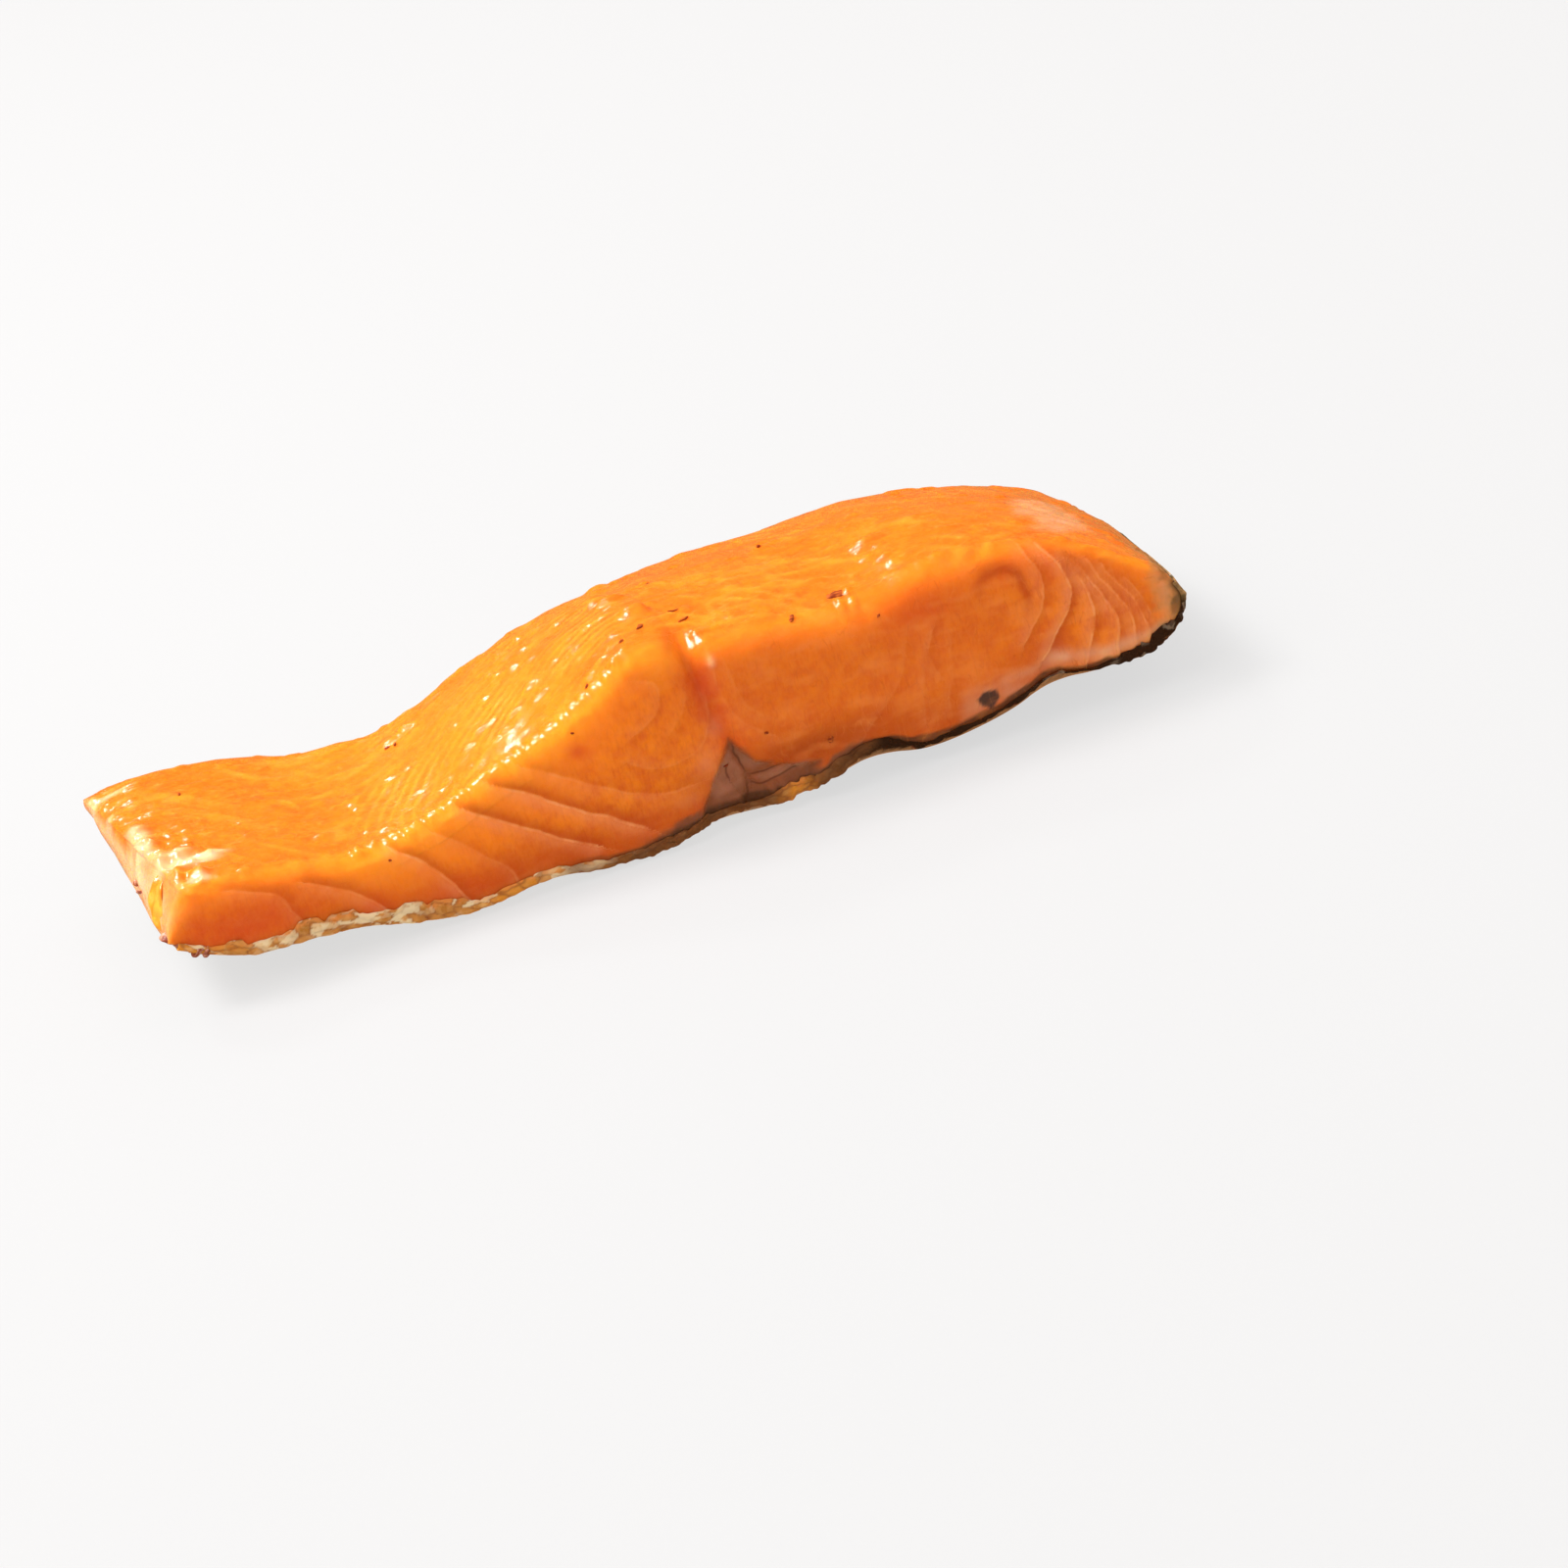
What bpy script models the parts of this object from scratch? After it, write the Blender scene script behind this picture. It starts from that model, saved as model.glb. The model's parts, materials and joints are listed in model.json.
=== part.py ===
"""Smoked salmon portion: a thick piece cut across one side of the fish, lying on its own skin.

Two solids: the flesh, and the skin that runs under it and wraps up round the back of the fish.
+X runs from the thin belly end to the back of the fish, -Y is the cut face that shows, +Z is up.
The origin is on the resting surface, under the middle of the portion.
"""
import math

import bmesh
import bpy
import numpy as np

MM = 0.001

# --- Main sizes, in metres -------------------------------------------------------------------
WIDTH = 46.0 * MM                   # between the two cuts
BELLY_END_TOP = (-74.2 * MM, -84.9 * MM)      # x of the belly end's top edge, at front and back
BELLY_END_FOOT = (-78.8 * MM, -83.4 * MM)     # x of its bottom edge
BACK_END = 82.8 * MM                # x of the flesh's furthest point, at the back of the fish
BACK_END_PULL = 3.5 * MM            # how far that end draws in at the rear cut
SKIN_THICK = 1.0 * MM
SKIN_GAP = 0.3 * MM                 # parting between skin and flesh
SKIN_CURL = 0.4 * MM                # how far the skin's cut edges turn up
SKIN_FLARE = 1.0 * MM               # how far they stand out past the flesh
SKIN_RAGGED = 0.55 * MM             # in short steps, more and less by this
SKIN_WANDER = 0.35 * MM             # and in long ones by this

# --- Outlines, as (x, height) in millimetres ---------------------------------------------------
FRONT_TOP = ((-86, 19.6), (-74, 19.7), (-66, 18.9), (-58, 17.6), (-50, 16.0), (-43, 16.2),
             (-35, 17.9), (-26, 21.4), (-16, 24.9), (-8, 29.2), (-1, 33.0), (4, 33.2), (13, 31.0),
             (19, 31.1), (28, 29.2), (37, 29.4), (46, 31.5), (54, 31.6), (63, 30.0), (70, 27.2),
             (79, 21.2), (86, 17.0))
REAR_TOP = ((-86, 17.3), (-76, 18.9), (-65, 17.7), (-50, 14.2), (-40, 13.0), (-30, 15.4),
            (-18, 20.3), (-8, 23.5), (4, 25.0), (16, 25.9), (30, 25.7), (44, 25.8), (54, 24.5),
            (66, 21.2), (75, 16.9), (86, 9.5))
DOME = ((-86, 0.4), (-40, 0.8), (-20, 1.9), (0, 3.0), (15, 3.3), (50, 3.2), (65, 2.2), (86, 0.5))
FRONT_FOOT = ((-86, 13.0), (-78, 10.8), (-73, 8.3), (-67, 6.0), (-58, 5.3), (-50, 4.5),
              (-41, 2.2), (-33, 1.1), (-20, 2.2), (-11, 0.8), (-3, 0.6), (7, 2.4), (16, 1.7),
              (24, 3.2), (32, 5.3), (40, 3.1), (48, 3.7), (55, 5.5), (61, 8.1), (68, 6.7),
              (76, 6.7), (86, 10.0))
MIDDLE_FOOT = ((-86, 12.6), (-80, 9.8), (-74, 7.4), (-67, 5.2), (-60, 3.5), (-52, 2.0),
               (-44, 0.8), (-38, 0.0), (46, 0.0), (55, 0.8), (62, 2.2), (70, 4.2), (78, 6.3),
               (86, 9.0))
REAR_FOOT = ((-86, 14.2), (-82, 11.8), (-77, 9.0), (-70, 6.3), (-62, 4.2), (-52, 2.3),
             (-40, 0.9), (-20, 0.6), (0, 1.0), (25, 1.7), (45, 1.8), (58, 3.6), (70, 5.0),
             (80, 6.6), (86, 8.4))
FOOT_EDGE = 0.30                    # share of the width over which the underside curls at each cut

# --- Rounding ----------------------------------------------------------------------------------
TOP_ROUND = ((-86, 1.4), (-70, 2.4), (-20, 2.6), (20, 3.4), (60, 3.4), (78, 1.4), (86, 1.0))
FOOT_ROUND = 0.7 * MM
NOSE_LENGTH = 7.0 * MM              # how far the round end at the fish's back reaches inwards
NOSE_ROUNDNESS = 0.88               # 1 is a half ellipse, 0 is square
BELLY_NOSE = 6.0 * MM               # the same two for the belly end
BELLY_ROUNDNESS = 0.42

# --- The line between back and belly muscle ------------------------------------------------------
SEAM_TOP_X = 8.0 * MM               # where it notches the front top edge
SEAM_LEAN = 9.0 * MM                # how far it drifts towards the belly at the rear cut
NOTCH_DEPTH = 3.6 * MM
NOTCH_WIDTH = 2.5 * MM
VALLEY_REAR = 0.15                  # share of the notch's depth left at the rear cut
SEAM_ON_FACE = ((29.0, 7.2), (25.0, 8.0), (21.0, 8.6), (17.0, 9.7), (14.0, 10.8), (8.0, 12.0),
                (0.0, 13.0))        # (height, x) down the cut face
SEAM_DEPTH = 2.6 * MM               # of the groove at the top of the face
SEAM_DEPTH_LOW = 0.7 * MM           # and added all the way down
SEAM_WIDTH = 2.0 * MM
SEAM_FADE = (9.0 * MM, 29.0 * MM)   # heights between which the groove deepens
DARK_MUSCLE = ((10.6, 15.0), (1.0, 5.0), (21.0, 5.0))     # triangle over the skin, (x, height)
DARK_DEPTH = 1.1 * MM
DARK_SOFT = 2.5 * MM

# --- Swells of the top and of the cut face (x, height, reach along x and in height, how far out) --
TOP_SWELL = 0.15 * MM
END_CALM = 12                       # these fade out within 1/12 of the length at each end
FACE_SWELLS = ((-3.0, 20.0, 9.0, 9.0, 1.3),       # belly muscle beside the groove
               (44.0, 4.0, 14.0, 5.0, -0.9))      # the foot of the back muscle draws in
CORNER_DEPTH = 0.6                  # share of the face's relief that reaches into the edges
CORNER_REACH = 1 / 6                # of the width

# --- Flake lines on the cut face: (x, height) ----------------------------------------------------
FLAKE_LINES = (
    ((-67, 16.5), (-61, 14.3), (-57, 9.5)),
    ((-54, 13.0), (-49, 9.5), (-45, 5.0)),
    ((-42, 14.5), (-38, 10.0), (-33, 4.0)),
    ((-34, 15.0), (-30, 10.5), (-25, 5.0)),
    ((-29, 17.0), (-23, 12.2), (-14, 6.0)),
    ((-24, 19.0), (-15, 13.0), (-6, 6.0)),
    ((-20, 21.2), (-11, 15.0), (0, 10.4), (5, 9.5)),
    ((61, 30.0), (62, 24.0), (60, 17.3)),
    ((63.5, 29.7), (66, 22.0), (61, 12.5)),
    ((67, 26.0), (69, 18.0), (67, 9.0)),
    ((69.5, 25.0), (72.5, 18.0), (72, 9.5)),
    ((72.5, 22.5), (75.5, 16.0), (76, 10.5)),
)
FLAKE_GROOVE = 0.42 * MM
FLAKE_WIDTH = 1.8 * MM
SWIRL = (56.0, 22.5)                # centre of the ring of muscle, (x, height)
SWIRL_SIZE = (4.5, 7.0)
SWIRL_RIM = 0.28                    # width of its groove, as a share of its size

# --- Herb flakes on the top: (x, y, length, width, turn in degrees) ------------------------------
HERBS = ((32.7, -17.8, 3.2, 1.4, 15), (24.5, -20.6, 1.8, 1.1, 70), (8.8, -11.0, 1.7, 1.0, 5),
         (2.9, -14.6, 1.8, 1.1, 60), (26.5, 5.0, 1.5, 1.0, 40), (-36.5, 10.2, 2.4, 1.4, 25))
HERB_THICK = 1.1 * MM

# --- Mesh density --------------------------------------------------------------------------------
FLESH_STEPS = (80, 13, 11)          # along X, Y and Z
ARC_STEPS = 2                       # rows in the rounding of each cut edge
SKIN_STEPS_LONG = 54
SKIN_STEPS_NOSE = 7
SKIN_STEPS_WIDE = 10
SKIN_NOSE_REACH = 0.84              # how far up the round end the skin comes, as a share
SKIN_NOSE_WAVE = 0.05               # its edge there wanders up and down by this share

FLESH_COLOUR = (0.90, 0.27, 0.02, 1.0)
SKIN_COLOUR = (0.10, 0.07, 0.04, 1.0)


def curve(points, x):
    """Height at x, in metres, on the smooth curve through points given in millimetres."""
    px, pz = np.array(points, float).T * MM
    slope = np.gradient(pz, px)
    i = np.clip(np.searchsorted(px, x) - 1, 0, len(px) - 2)
    step = px[i + 1] - px[i]
    t = np.clip((x - px[i]) / step, 0.0, 1.0)
    rise = pz[i] + (pz[i + 1] - pz[i]) * t * t * (3 - 2 * t)
    return rise + step * t * (1 - t) * ((1 - t) * slope[i] - t * slope[i + 1])


def smooth(t):
    t = np.clip(t, 0.0, 1.0)
    return t * t * (3 - 2 * t)


def seam_x(v):
    """x of the line between back and belly muscle on the top, at share v of the width."""
    return SEAM_TOP_X - SEAM_LEAN * v ** 1.5


def top_height(x, v):
    """Height of the top surface."""
    height = curve(FRONT_TOP, x) * (1 - v) + curve(REAR_TOP, x) * v
    height += curve(DOME, x) * 4 * v * (1 - v)
    depth = NOTCH_DEPTH * (VALLEY_REAR + (1 - VALLEY_REAR) * (1 - smooth(v / 0.25)))
    return height - depth * np.exp(-((x - seam_x(v)) / NOTCH_WIDTH) ** 2)


def foot_height(x, v):
    """Height of the skin's outer face over the resting surface."""
    middle = np.maximum(curve(MIDDLE_FOOT, x), 0.0)
    front = np.clip((FOOT_EDGE - v) / FOOT_EDGE, 0, 1) ** 2
    rear = np.clip((v - 1 + FOOT_EDGE) / FOOT_EDGE, 0, 1) ** 2
    edges = front * (curve(FRONT_FOOT, x) - middle) + rear * (curve(REAR_FOOT, x) - middle)
    return np.maximum(middle + edges, 0.0)


def line_distance(points, x, z):
    """Distance in metres from (x, z) to the open line through points given in millimetres."""
    best = np.full(np.shape(x), 1.0)
    line = np.array(points, float) * MM
    for (ax, az), (bx, bz) in zip(line[:-1], line[1:]):
        length2 = (bx - ax) ** 2 + (bz - az) ** 2
        t = np.clip(((x - ax) * (bx - ax) + (z - az) * (bz - az)) / length2, 0, 1)
        best = np.minimum(best, np.hypot(x - ax - t * (bx - ax), z - az - t * (bz - az)))
    return best


def inside_triangle(corners, x, z, soft):
    """1 inside the triangle, falling to 0 over the distance soft outside its edges."""
    corners = np.array(corners, float) * MM
    share = np.ones(np.shape(x))
    for a, b in zip(corners, np.roll(corners, -1, axis=0)):
        edge = (b - a) / np.linalg.norm(b - a)
        share = share * smooth(0.5 + ((x - a[0]) * -edge[1] + (z - a[1]) * edge[0]) / soft)
    return share


def face_relief(x, z):
    """How far the cut face stands out (+) or in (-) at x and height z."""
    seam = np.array(SEAM_ON_FACE, float)[::-1]
    off_seam = x - curve(seam, z)
    depth = SEAM_DEPTH_LOW + SEAM_DEPTH * smooth((z - SEAM_FADE[0]) / (SEAM_FADE[1] - SEAM_FADE[0]))
    out = -depth * np.exp(-(off_seam / SEAM_WIDTH) ** 2)
    out -= DARK_DEPTH * inside_triangle(DARK_MUSCLE, x, z, DARK_SOFT)
    for at_x, at_z, reach_x, reach_z, height in FACE_SWELLS:
        across_x, across_z = (x / MM - at_x) / reach_x, (z / MM - at_z) / reach_z
        out += height * MM * np.exp(-across_x ** 2 - across_z ** 2)
    for line in FLAKE_LINES:
        out -= FLAKE_GROOVE * np.exp(-(line_distance(line, x, z) / FLAKE_WIDTH) ** 2)
    ring = np.hypot((x / MM - SWIRL[0]) / SWIRL_SIZE[0], (z / MM - SWIRL[1]) / SWIRL_SIZE[1])
    return out - FLAKE_GROOVE * np.exp(-((ring - 1) / SWIRL_RIM) ** 2)


def top_relief(x, y):
    """Low swells of the top surface, in metres."""
    long_wave = np.sin(x / (5.2 * MM) + 3.0 * np.sin(y / (11.0 * MM)))
    cross_wave = np.sin(y / (4.1 * MM) + 2.0 * np.sin(x / (13.0 * MM)) + 1.0)
    return TOP_SWELL * (long_wave + cross_wave)


def edge_round(x, w):
    """Radius of the rounding along the cut, at share w of the height."""
    return FOOT_ROUND + (curve(TOP_ROUND, x) - FOOT_ROUND) * smooth(w)


def round_ends(x0, x1, x, q):
    """Draw the outline in at both ends: x and q (-1 at the foot, +1 at the top) become rounded."""
    into_nose = np.clip((x - (x1 - NOSE_LENGTH)) / NOSE_LENGTH, 0, 1)
    into_belly = np.clip((x0 + BELLY_NOSE - x) / BELLY_NOSE, 0, 1)
    flat = 1 - NOSE_ROUNDNESS * q * q / 2
    new_x = x + NOSE_LENGTH * into_nose * (np.sqrt(flat) - 1)
    new_x = new_x - BELLY_NOSE * into_belly * (np.sqrt(1 - BELLY_ROUNDNESS * q * q / 2) - 1)
    new_q = q * np.sqrt(1 - NOSE_ROUNDNESS * into_nose ** 2 / 2)
    new_q = new_q * np.sqrt(1 - BELLY_ROUNDNESS * into_belly ** 2 / 2)
    return new_x, new_q


def end_positions(v, w):
    """x of the belly end and of the back end, at share v of the width and w of the height."""
    top = BELLY_END_TOP[0] + (BELLY_END_TOP[1] - BELLY_END_TOP[0]) * v
    foot = BELLY_END_FOOT[0] + (BELLY_END_FOOT[1] - BELLY_END_FOOT[0]) * v
    return foot + (top - foot) * w, BACK_END - BACK_END_PULL * smooth((v - 0.6) / 0.4)


def place(u, v, w, inset, grow):
    """Point of the body for shares u, v, w of its length, width and height.

    inset draws the outline in by a share of the edge rounding, and grow swells the foot and the
    back end outwards, which gives the two faces of the skin.
    """
    x0, x1 = end_positions(v, w)
    x1 = x1 + grow
    rounding = edge_round(x0 + u * (x1 - x0), w) * inset
    x = (x0 + rounding) + u * (x1 - x0 - 2 * rounding)
    q = 2 * w - 1
    round_x, round_q = round_ends(x0, x1, x, q)
    foot = foot_height(round_x, v) + SKIN_THICK + SKIN_GAP - grow
    foot = foot + edge_round(round_x, 0.0) * inset
    top = top_height(round_x, v) - edge_round(round_x, 1.0) * inset + grow * smooth(u * 8 - 7)
    return round_x, foot + (top - foot) * (round_q + 1) / 2


def box_lattice(steps):
    """Vertices (i, j, k) and outward quads of the skin of a box with the given steps."""
    nx, ny, nz = steps
    index = {}

    def number(i, j, k):
        return index.setdefault((i, j, k), len(index))

    quads = []
    for i in range(nx):
        for k in range(nz):
            ring = [(i, k), (i + 1, k), (i + 1, k + 1), (i, k + 1)]
            quads.append([number(a, 0, b) for a, b in ring])
            quads.append([number(a, ny, b) for a, b in reversed(ring)])
        for j in range(ny):
            ring = [(i, j), (i, j + 1), (i + 1, j + 1), (i + 1, j)]
            quads.append([number(a, b, 0) for a, b in ring])
            quads.append([number(a, b, nz) for a, b in reversed(ring)])
    for j in range(ny):
        for k in range(nz):
            ring = [(j, k), (j, k + 1), (j + 1, k + 1), (j + 1, k)]
            quads.append([number(0, a, b) for a, b in ring])
            quads.append([number(nx, a, b) for a, b in reversed(ring)])
    return np.array(list(index)), quads


def across(j, steps_wide, radius):
    """y and outline inset for row j across the width, with the cut edges' rounding in it."""
    front = np.clip(j / ARC_STEPS, 0, 1) * math.pi / 2
    rear = np.clip((steps_wide - j) / ARC_STEPS, 0, 1) * math.pi / 2
    middle = np.clip((j - ARC_STEPS) / (steps_wide - 2 * ARC_STEPS), 0, 1)
    y = -WIDTH / 2 + radius * (1 - np.cos(front)) + middle * (WIDTH - 2 * radius)
    y = y + radius * np.cos(rear)
    return y, 1 - np.minimum(np.sin(front), np.sin(rear)), np.cos(front), np.cos(rear)


def flesh_points(lattice, steps):
    """World positions of the flesh's lattice."""
    i, j, k = lattice.T
    u, w = i / steps[0], k / steps[2]
    radius = edge_round(BELLY_END_TOP[0] + u * (BACK_END - BELLY_END_TOP[0]), w)
    y, inset, facing_front, facing_rear = across(j, steps[1], radius)
    v = y / WIDTH + 0.5
    x, z = place(u, v, w, inset, 0.0)
    away_from_ends = smooth(u * END_CALM) * smooth((1 - u) * END_CALM)
    z = z + top_relief(x, y) * (k == steps[2]) * away_from_ends
    near_front = CORNER_DEPTH * (1 - smooth(v / CORNER_REACH))
    near_rear = CORNER_DEPTH * (1 - smooth((1 - v) / CORNER_REACH))
    y = y - face_relief(x, z) * np.maximum(facing_front, near_front)
    rear_shift = SEAM_TOP_X - seam_x(1.0)
    rear_height = z * curve(FRONT_TOP, x + rear_shift) / curve(REAR_TOP, x)
    y = y + face_relief(x + rear_shift, rear_height) * np.maximum(facing_rear, near_rear)
    return np.stack([x, y, z], axis=-1)


def new_object(name, points, faces):
    mesh = bpy.data.meshes.new(name)
    mesh.from_pydata(points.tolist(), [], faces)
    obj = bpy.data.objects.new(name, mesh)
    bpy.context.scene.collection.objects.link(obj)
    return obj


def set_material(obj, colour, roughness):
    material = bpy.data.materials.new(obj.name)
    material.use_nodes = True
    shader = material.node_tree.nodes["Principled BSDF"]
    shader.inputs["Base Color"].default_value = colour
    shader.inputs["Roughness"].default_value = roughness
    shader.inputs["Metallic"].default_value = 0.0
    obj.data.materials.clear()
    obj.data.materials.append(material)


def herb_flake(number, x, y, length, width, turn):
    """A low lens of dried herb, sunk a little into the top of the flesh."""
    mesh = bpy.data.meshes.new(f"herb_{number}")
    body = bmesh.new()
    bmesh.ops.create_icosphere(body, subdivisions=1, radius=0.5)
    angle = math.radians(turn)
    ground = float(top_height(np.array(x * MM), np.array(y * MM / WIDTH + 0.5)))
    for vert in body.verts:
        along, side = vert.co.x * length * MM, vert.co.y * width * MM
        vert.co = (x * MM + along * math.cos(angle) - side * math.sin(angle),
                   y * MM + along * math.sin(angle) + side * math.cos(angle),
                   ground + vert.co.z * HERB_THICK)
    body.to_mesh(mesh)
    body.free()
    return bpy.data.objects.new(f"herb_{number}", mesh)


def fuse_herbs(flesh):
    """Join the herb flakes to the flesh as one closed body."""
    herbs = bpy.data.collections.new("herbs")
    bpy.context.scene.collection.children.link(herbs)
    for number, spec in enumerate(HERBS):
        herbs.objects.link(herb_flake(number, *spec))
    union = flesh.modifiers.new("herbs", "BOOLEAN")
    union.operation = "UNION"
    union.operand_type = "COLLECTION"
    union.collection = herbs
    union.solver = "EXACT"
    bpy.context.view_layer.update()
    fused = bpy.data.meshes.new_from_object(flesh.evaluated_get(bpy.context.evaluated_depsgraph_get()))
    flesh.modifiers.clear()
    flesh.data = fused
    for herb in list(herbs.objects):
        bpy.data.objects.remove(herb)
    bpy.data.collections.remove(herbs)


def make_flesh():
    lattice, quads = box_lattice(FLESH_STEPS)
    flesh = new_object("flesh", flesh_points(lattice, FLESH_STEPS), quads)
    fuse_herbs(flesh)
    set_material(flesh, FLESH_COLOUR, 0.3)
    return flesh


def skin_flare(x, v):
    """How far the skin's cut edge stands out past the flesh: it is ragged and crumpled."""
    ragged = 0.5 * np.sin(x / (2.3 * MM)) + 0.5 * np.sin(x / (1.37 * MM) + 1.3)
    wander = np.sin(x / (9.0 * MM) + 3 * v)
    return SKIN_FLARE + SKIN_RAGGED * ragged + SKIN_WANDER * wander


def skin_points(s, v, edge, grow):
    """Points of one face of the skin: s runs along the foot and up the round end, 0 to 2.

    edge is -1 on the front border, +1 on the rear border and 0 between them.
    """
    u = np.clip(s, 0, 1)
    reach = SKIN_NOSE_REACH + SKIN_NOSE_WAVE * np.sin(v * 9.0)
    w = np.clip(s - 1, 0, 1) * reach
    x, z = place(u, v, w, np.zeros(u.shape), grow)
    y = (v - 0.5) * WIDTH + edge * skin_flare(x, v)
    front_relief = face_relief(x, z + SKIN_THICK) * (edge < 0)
    on_foot = 1 - smooth(s * 4 - 3.4)
    lift = np.abs(edge) * SKIN_CURL * (1 + 0.5 * np.sin(x / (3.1 * MM))) * on_foot
    return np.stack([x, y - front_relief, z + lift], axis=-1)


def make_skin():
    """A thin sheet of even thickness, closed all round."""
    along = np.concatenate([np.linspace(0.0, 1.0, SKIN_STEPS_LONG + 1),
                            np.linspace(1.0, 2.0, SKIN_STEPS_NOSE + 1)[1:]])
    wide = np.concatenate([[0.0, 0.0], np.linspace(0.0, 1.0, SKIN_STEPS_WIDE - 1)[1:-1], [1.0, 1.0]])
    edge = np.zeros(len(wide))
    edge[0], edge[-1] = -1.0, 1.0
    s, v = np.meshgrid(along, wide, indexing="ij")
    e = np.meshgrid(along, edge, indexing="ij")[1]
    faces_of_skin = [skin_points(s, v, e, SKIN_GAP), skin_points(s, v, e, SKIN_GAP + SKIN_THICK)]
    points = np.concatenate([face.reshape(-1, 3) for face in faces_of_skin])
    rows, columns = s.shape
    lower = rows * columns

    def number(r, c, outer):
        return r * columns + c + outer * lower

    quads = []
    for r in range(rows - 1):
        for c in range(columns - 1):
            ring = [(r, c), (r + 1, c), (r + 1, c + 1), (r, c + 1)]
            quads.append([number(a, b, 0) for a, b in ring])
            quads.append([number(a, b, 1) for a, b in reversed(ring)])
    rim = [(r, 0) for r in range(rows)] + [(rows - 1, c) for c in range(1, columns)]
    rim += [(r, columns - 1) for r in range(rows - 2, -1, -1)]
    rim += [(0, c) for c in range(columns - 2, 0, -1)]
    for a, b in zip(rim, rim[1:] + rim[:1]):
        quads.append([number(*b, 0), number(*a, 0), number(*a, 1), number(*b, 1)])
    skin = new_object("skin", points, quads)
    set_material(skin, SKIN_COLOUR, 0.45)
    return skin


def main():
    for old in list(bpy.data.objects):
        bpy.data.objects.remove(old)
    for obj in (make_flesh(), make_skin()):
        for polygon in obj.data.polygons:
            polygon.use_smooth = True


main()
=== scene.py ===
"""Looks of the smoked salmon portion: moist orange flesh on its crumpled skin, in studio light.

The shapes repeat the model's own outlines at a finer step and add the relief that is too fine for
its solids. Lengths are in millimetres in the model's frame and become metres in new_piece.
"""
import json
import math

import bmesh
import bpy
import numpy as np
from mathutils import Matrix, Vector

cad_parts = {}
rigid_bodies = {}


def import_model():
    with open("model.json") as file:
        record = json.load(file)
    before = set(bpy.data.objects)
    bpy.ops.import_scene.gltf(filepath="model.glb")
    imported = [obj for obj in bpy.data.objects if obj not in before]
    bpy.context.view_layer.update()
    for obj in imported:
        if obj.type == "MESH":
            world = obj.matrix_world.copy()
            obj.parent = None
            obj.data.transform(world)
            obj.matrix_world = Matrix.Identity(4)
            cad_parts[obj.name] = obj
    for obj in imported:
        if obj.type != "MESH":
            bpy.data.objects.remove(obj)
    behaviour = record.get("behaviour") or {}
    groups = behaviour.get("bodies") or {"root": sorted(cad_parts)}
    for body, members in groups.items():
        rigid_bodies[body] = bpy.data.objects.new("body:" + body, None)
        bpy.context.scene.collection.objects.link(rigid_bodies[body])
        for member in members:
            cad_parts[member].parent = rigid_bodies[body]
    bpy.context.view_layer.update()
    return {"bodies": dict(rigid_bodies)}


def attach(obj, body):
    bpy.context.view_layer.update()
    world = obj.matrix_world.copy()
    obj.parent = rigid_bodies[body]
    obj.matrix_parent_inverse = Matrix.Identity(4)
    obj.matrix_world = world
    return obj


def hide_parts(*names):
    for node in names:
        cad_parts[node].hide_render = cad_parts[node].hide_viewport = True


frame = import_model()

MM = 0.001

# --- Outline of the portion, as in the model: (x, height) -----------------------------------------
WIDTH = 46.0
BELLY_END_TOP = (-74.2, -84.9)
BELLY_END_FOOT = (-78.8, -83.4)
BACK_END = 82.8
BACK_END_PULL = 3.5
SKIN_THICK = 1.0
SKIN_GAP = 0.3
FRONT_TOP = ((-86, 19.6), (-74, 19.7), (-66, 18.9), (-58, 17.6), (-50, 16.0), (-43, 16.2),
             (-35, 17.9), (-26, 21.4), (-16, 24.9), (-8, 29.2), (-1, 33.0), (4, 33.2), (13, 31.0),
             (19, 31.1), (28, 29.2), (37, 29.4), (46, 31.5), (54, 31.6), (63, 30.0), (70, 27.2),
             (79, 21.2), (86, 17.0))
REAR_TOP = ((-86, 17.3), (-76, 18.9), (-65, 17.7), (-50, 14.2), (-40, 13.0), (-30, 15.4),
            (-18, 20.3), (-8, 23.5), (4, 25.0), (16, 25.9), (30, 25.7), (44, 25.8), (54, 24.5),
            (66, 21.2), (75, 16.9), (86, 9.5))
DOME = ((-86, 0.4), (-40, 0.8), (-20, 1.9), (0, 3.0), (15, 3.3), (50, 3.2), (65, 2.2), (86, 0.5))
FRONT_FOOT = ((-86, 13.0), (-78, 10.8), (-73, 8.3), (-67, 6.0), (-58, 5.3), (-50, 4.5),
              (-41, 2.2), (-33, 1.1), (-20, 2.2), (-11, 0.8), (-3, 0.6), (7, 2.4), (16, 1.7),
              (24, 3.2), (32, 5.3), (40, 3.1), (48, 3.7), (55, 5.5), (61, 8.1), (68, 6.7),
              (76, 6.7), (86, 10.0))
MIDDLE_FOOT = ((-86, 12.6), (-80, 9.8), (-74, 7.4), (-67, 5.2), (-60, 3.5), (-52, 2.0),
               (-44, 0.8), (-38, 0.0), (46, 0.0), (55, 0.8), (62, 2.2), (70, 4.2), (78, 6.3),
               (86, 9.0))
REAR_FOOT = ((-86, 14.2), (-82, 11.8), (-77, 9.0), (-70, 6.3), (-62, 4.2), (-52, 2.3),
             (-40, 0.9), (-20, 0.6), (0, 1.0), (25, 1.7), (45, 1.8), (58, 3.6), (70, 5.0),
             (80, 6.6), (86, 8.4))
FOOT_EDGE = 0.30
TOP_ROUND = ((-86, 1.4), (-70, 2.4), (-20, 2.6), (20, 3.4), (60, 3.4), (78, 1.4), (86, 1.0))
FOOT_ROUND = 0.7
NOSE_LENGTH = 7.0
NOSE_ROUNDNESS = 0.88
BELLY_NOSE = 6.0
BELLY_ROUNDNESS = 0.42
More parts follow.
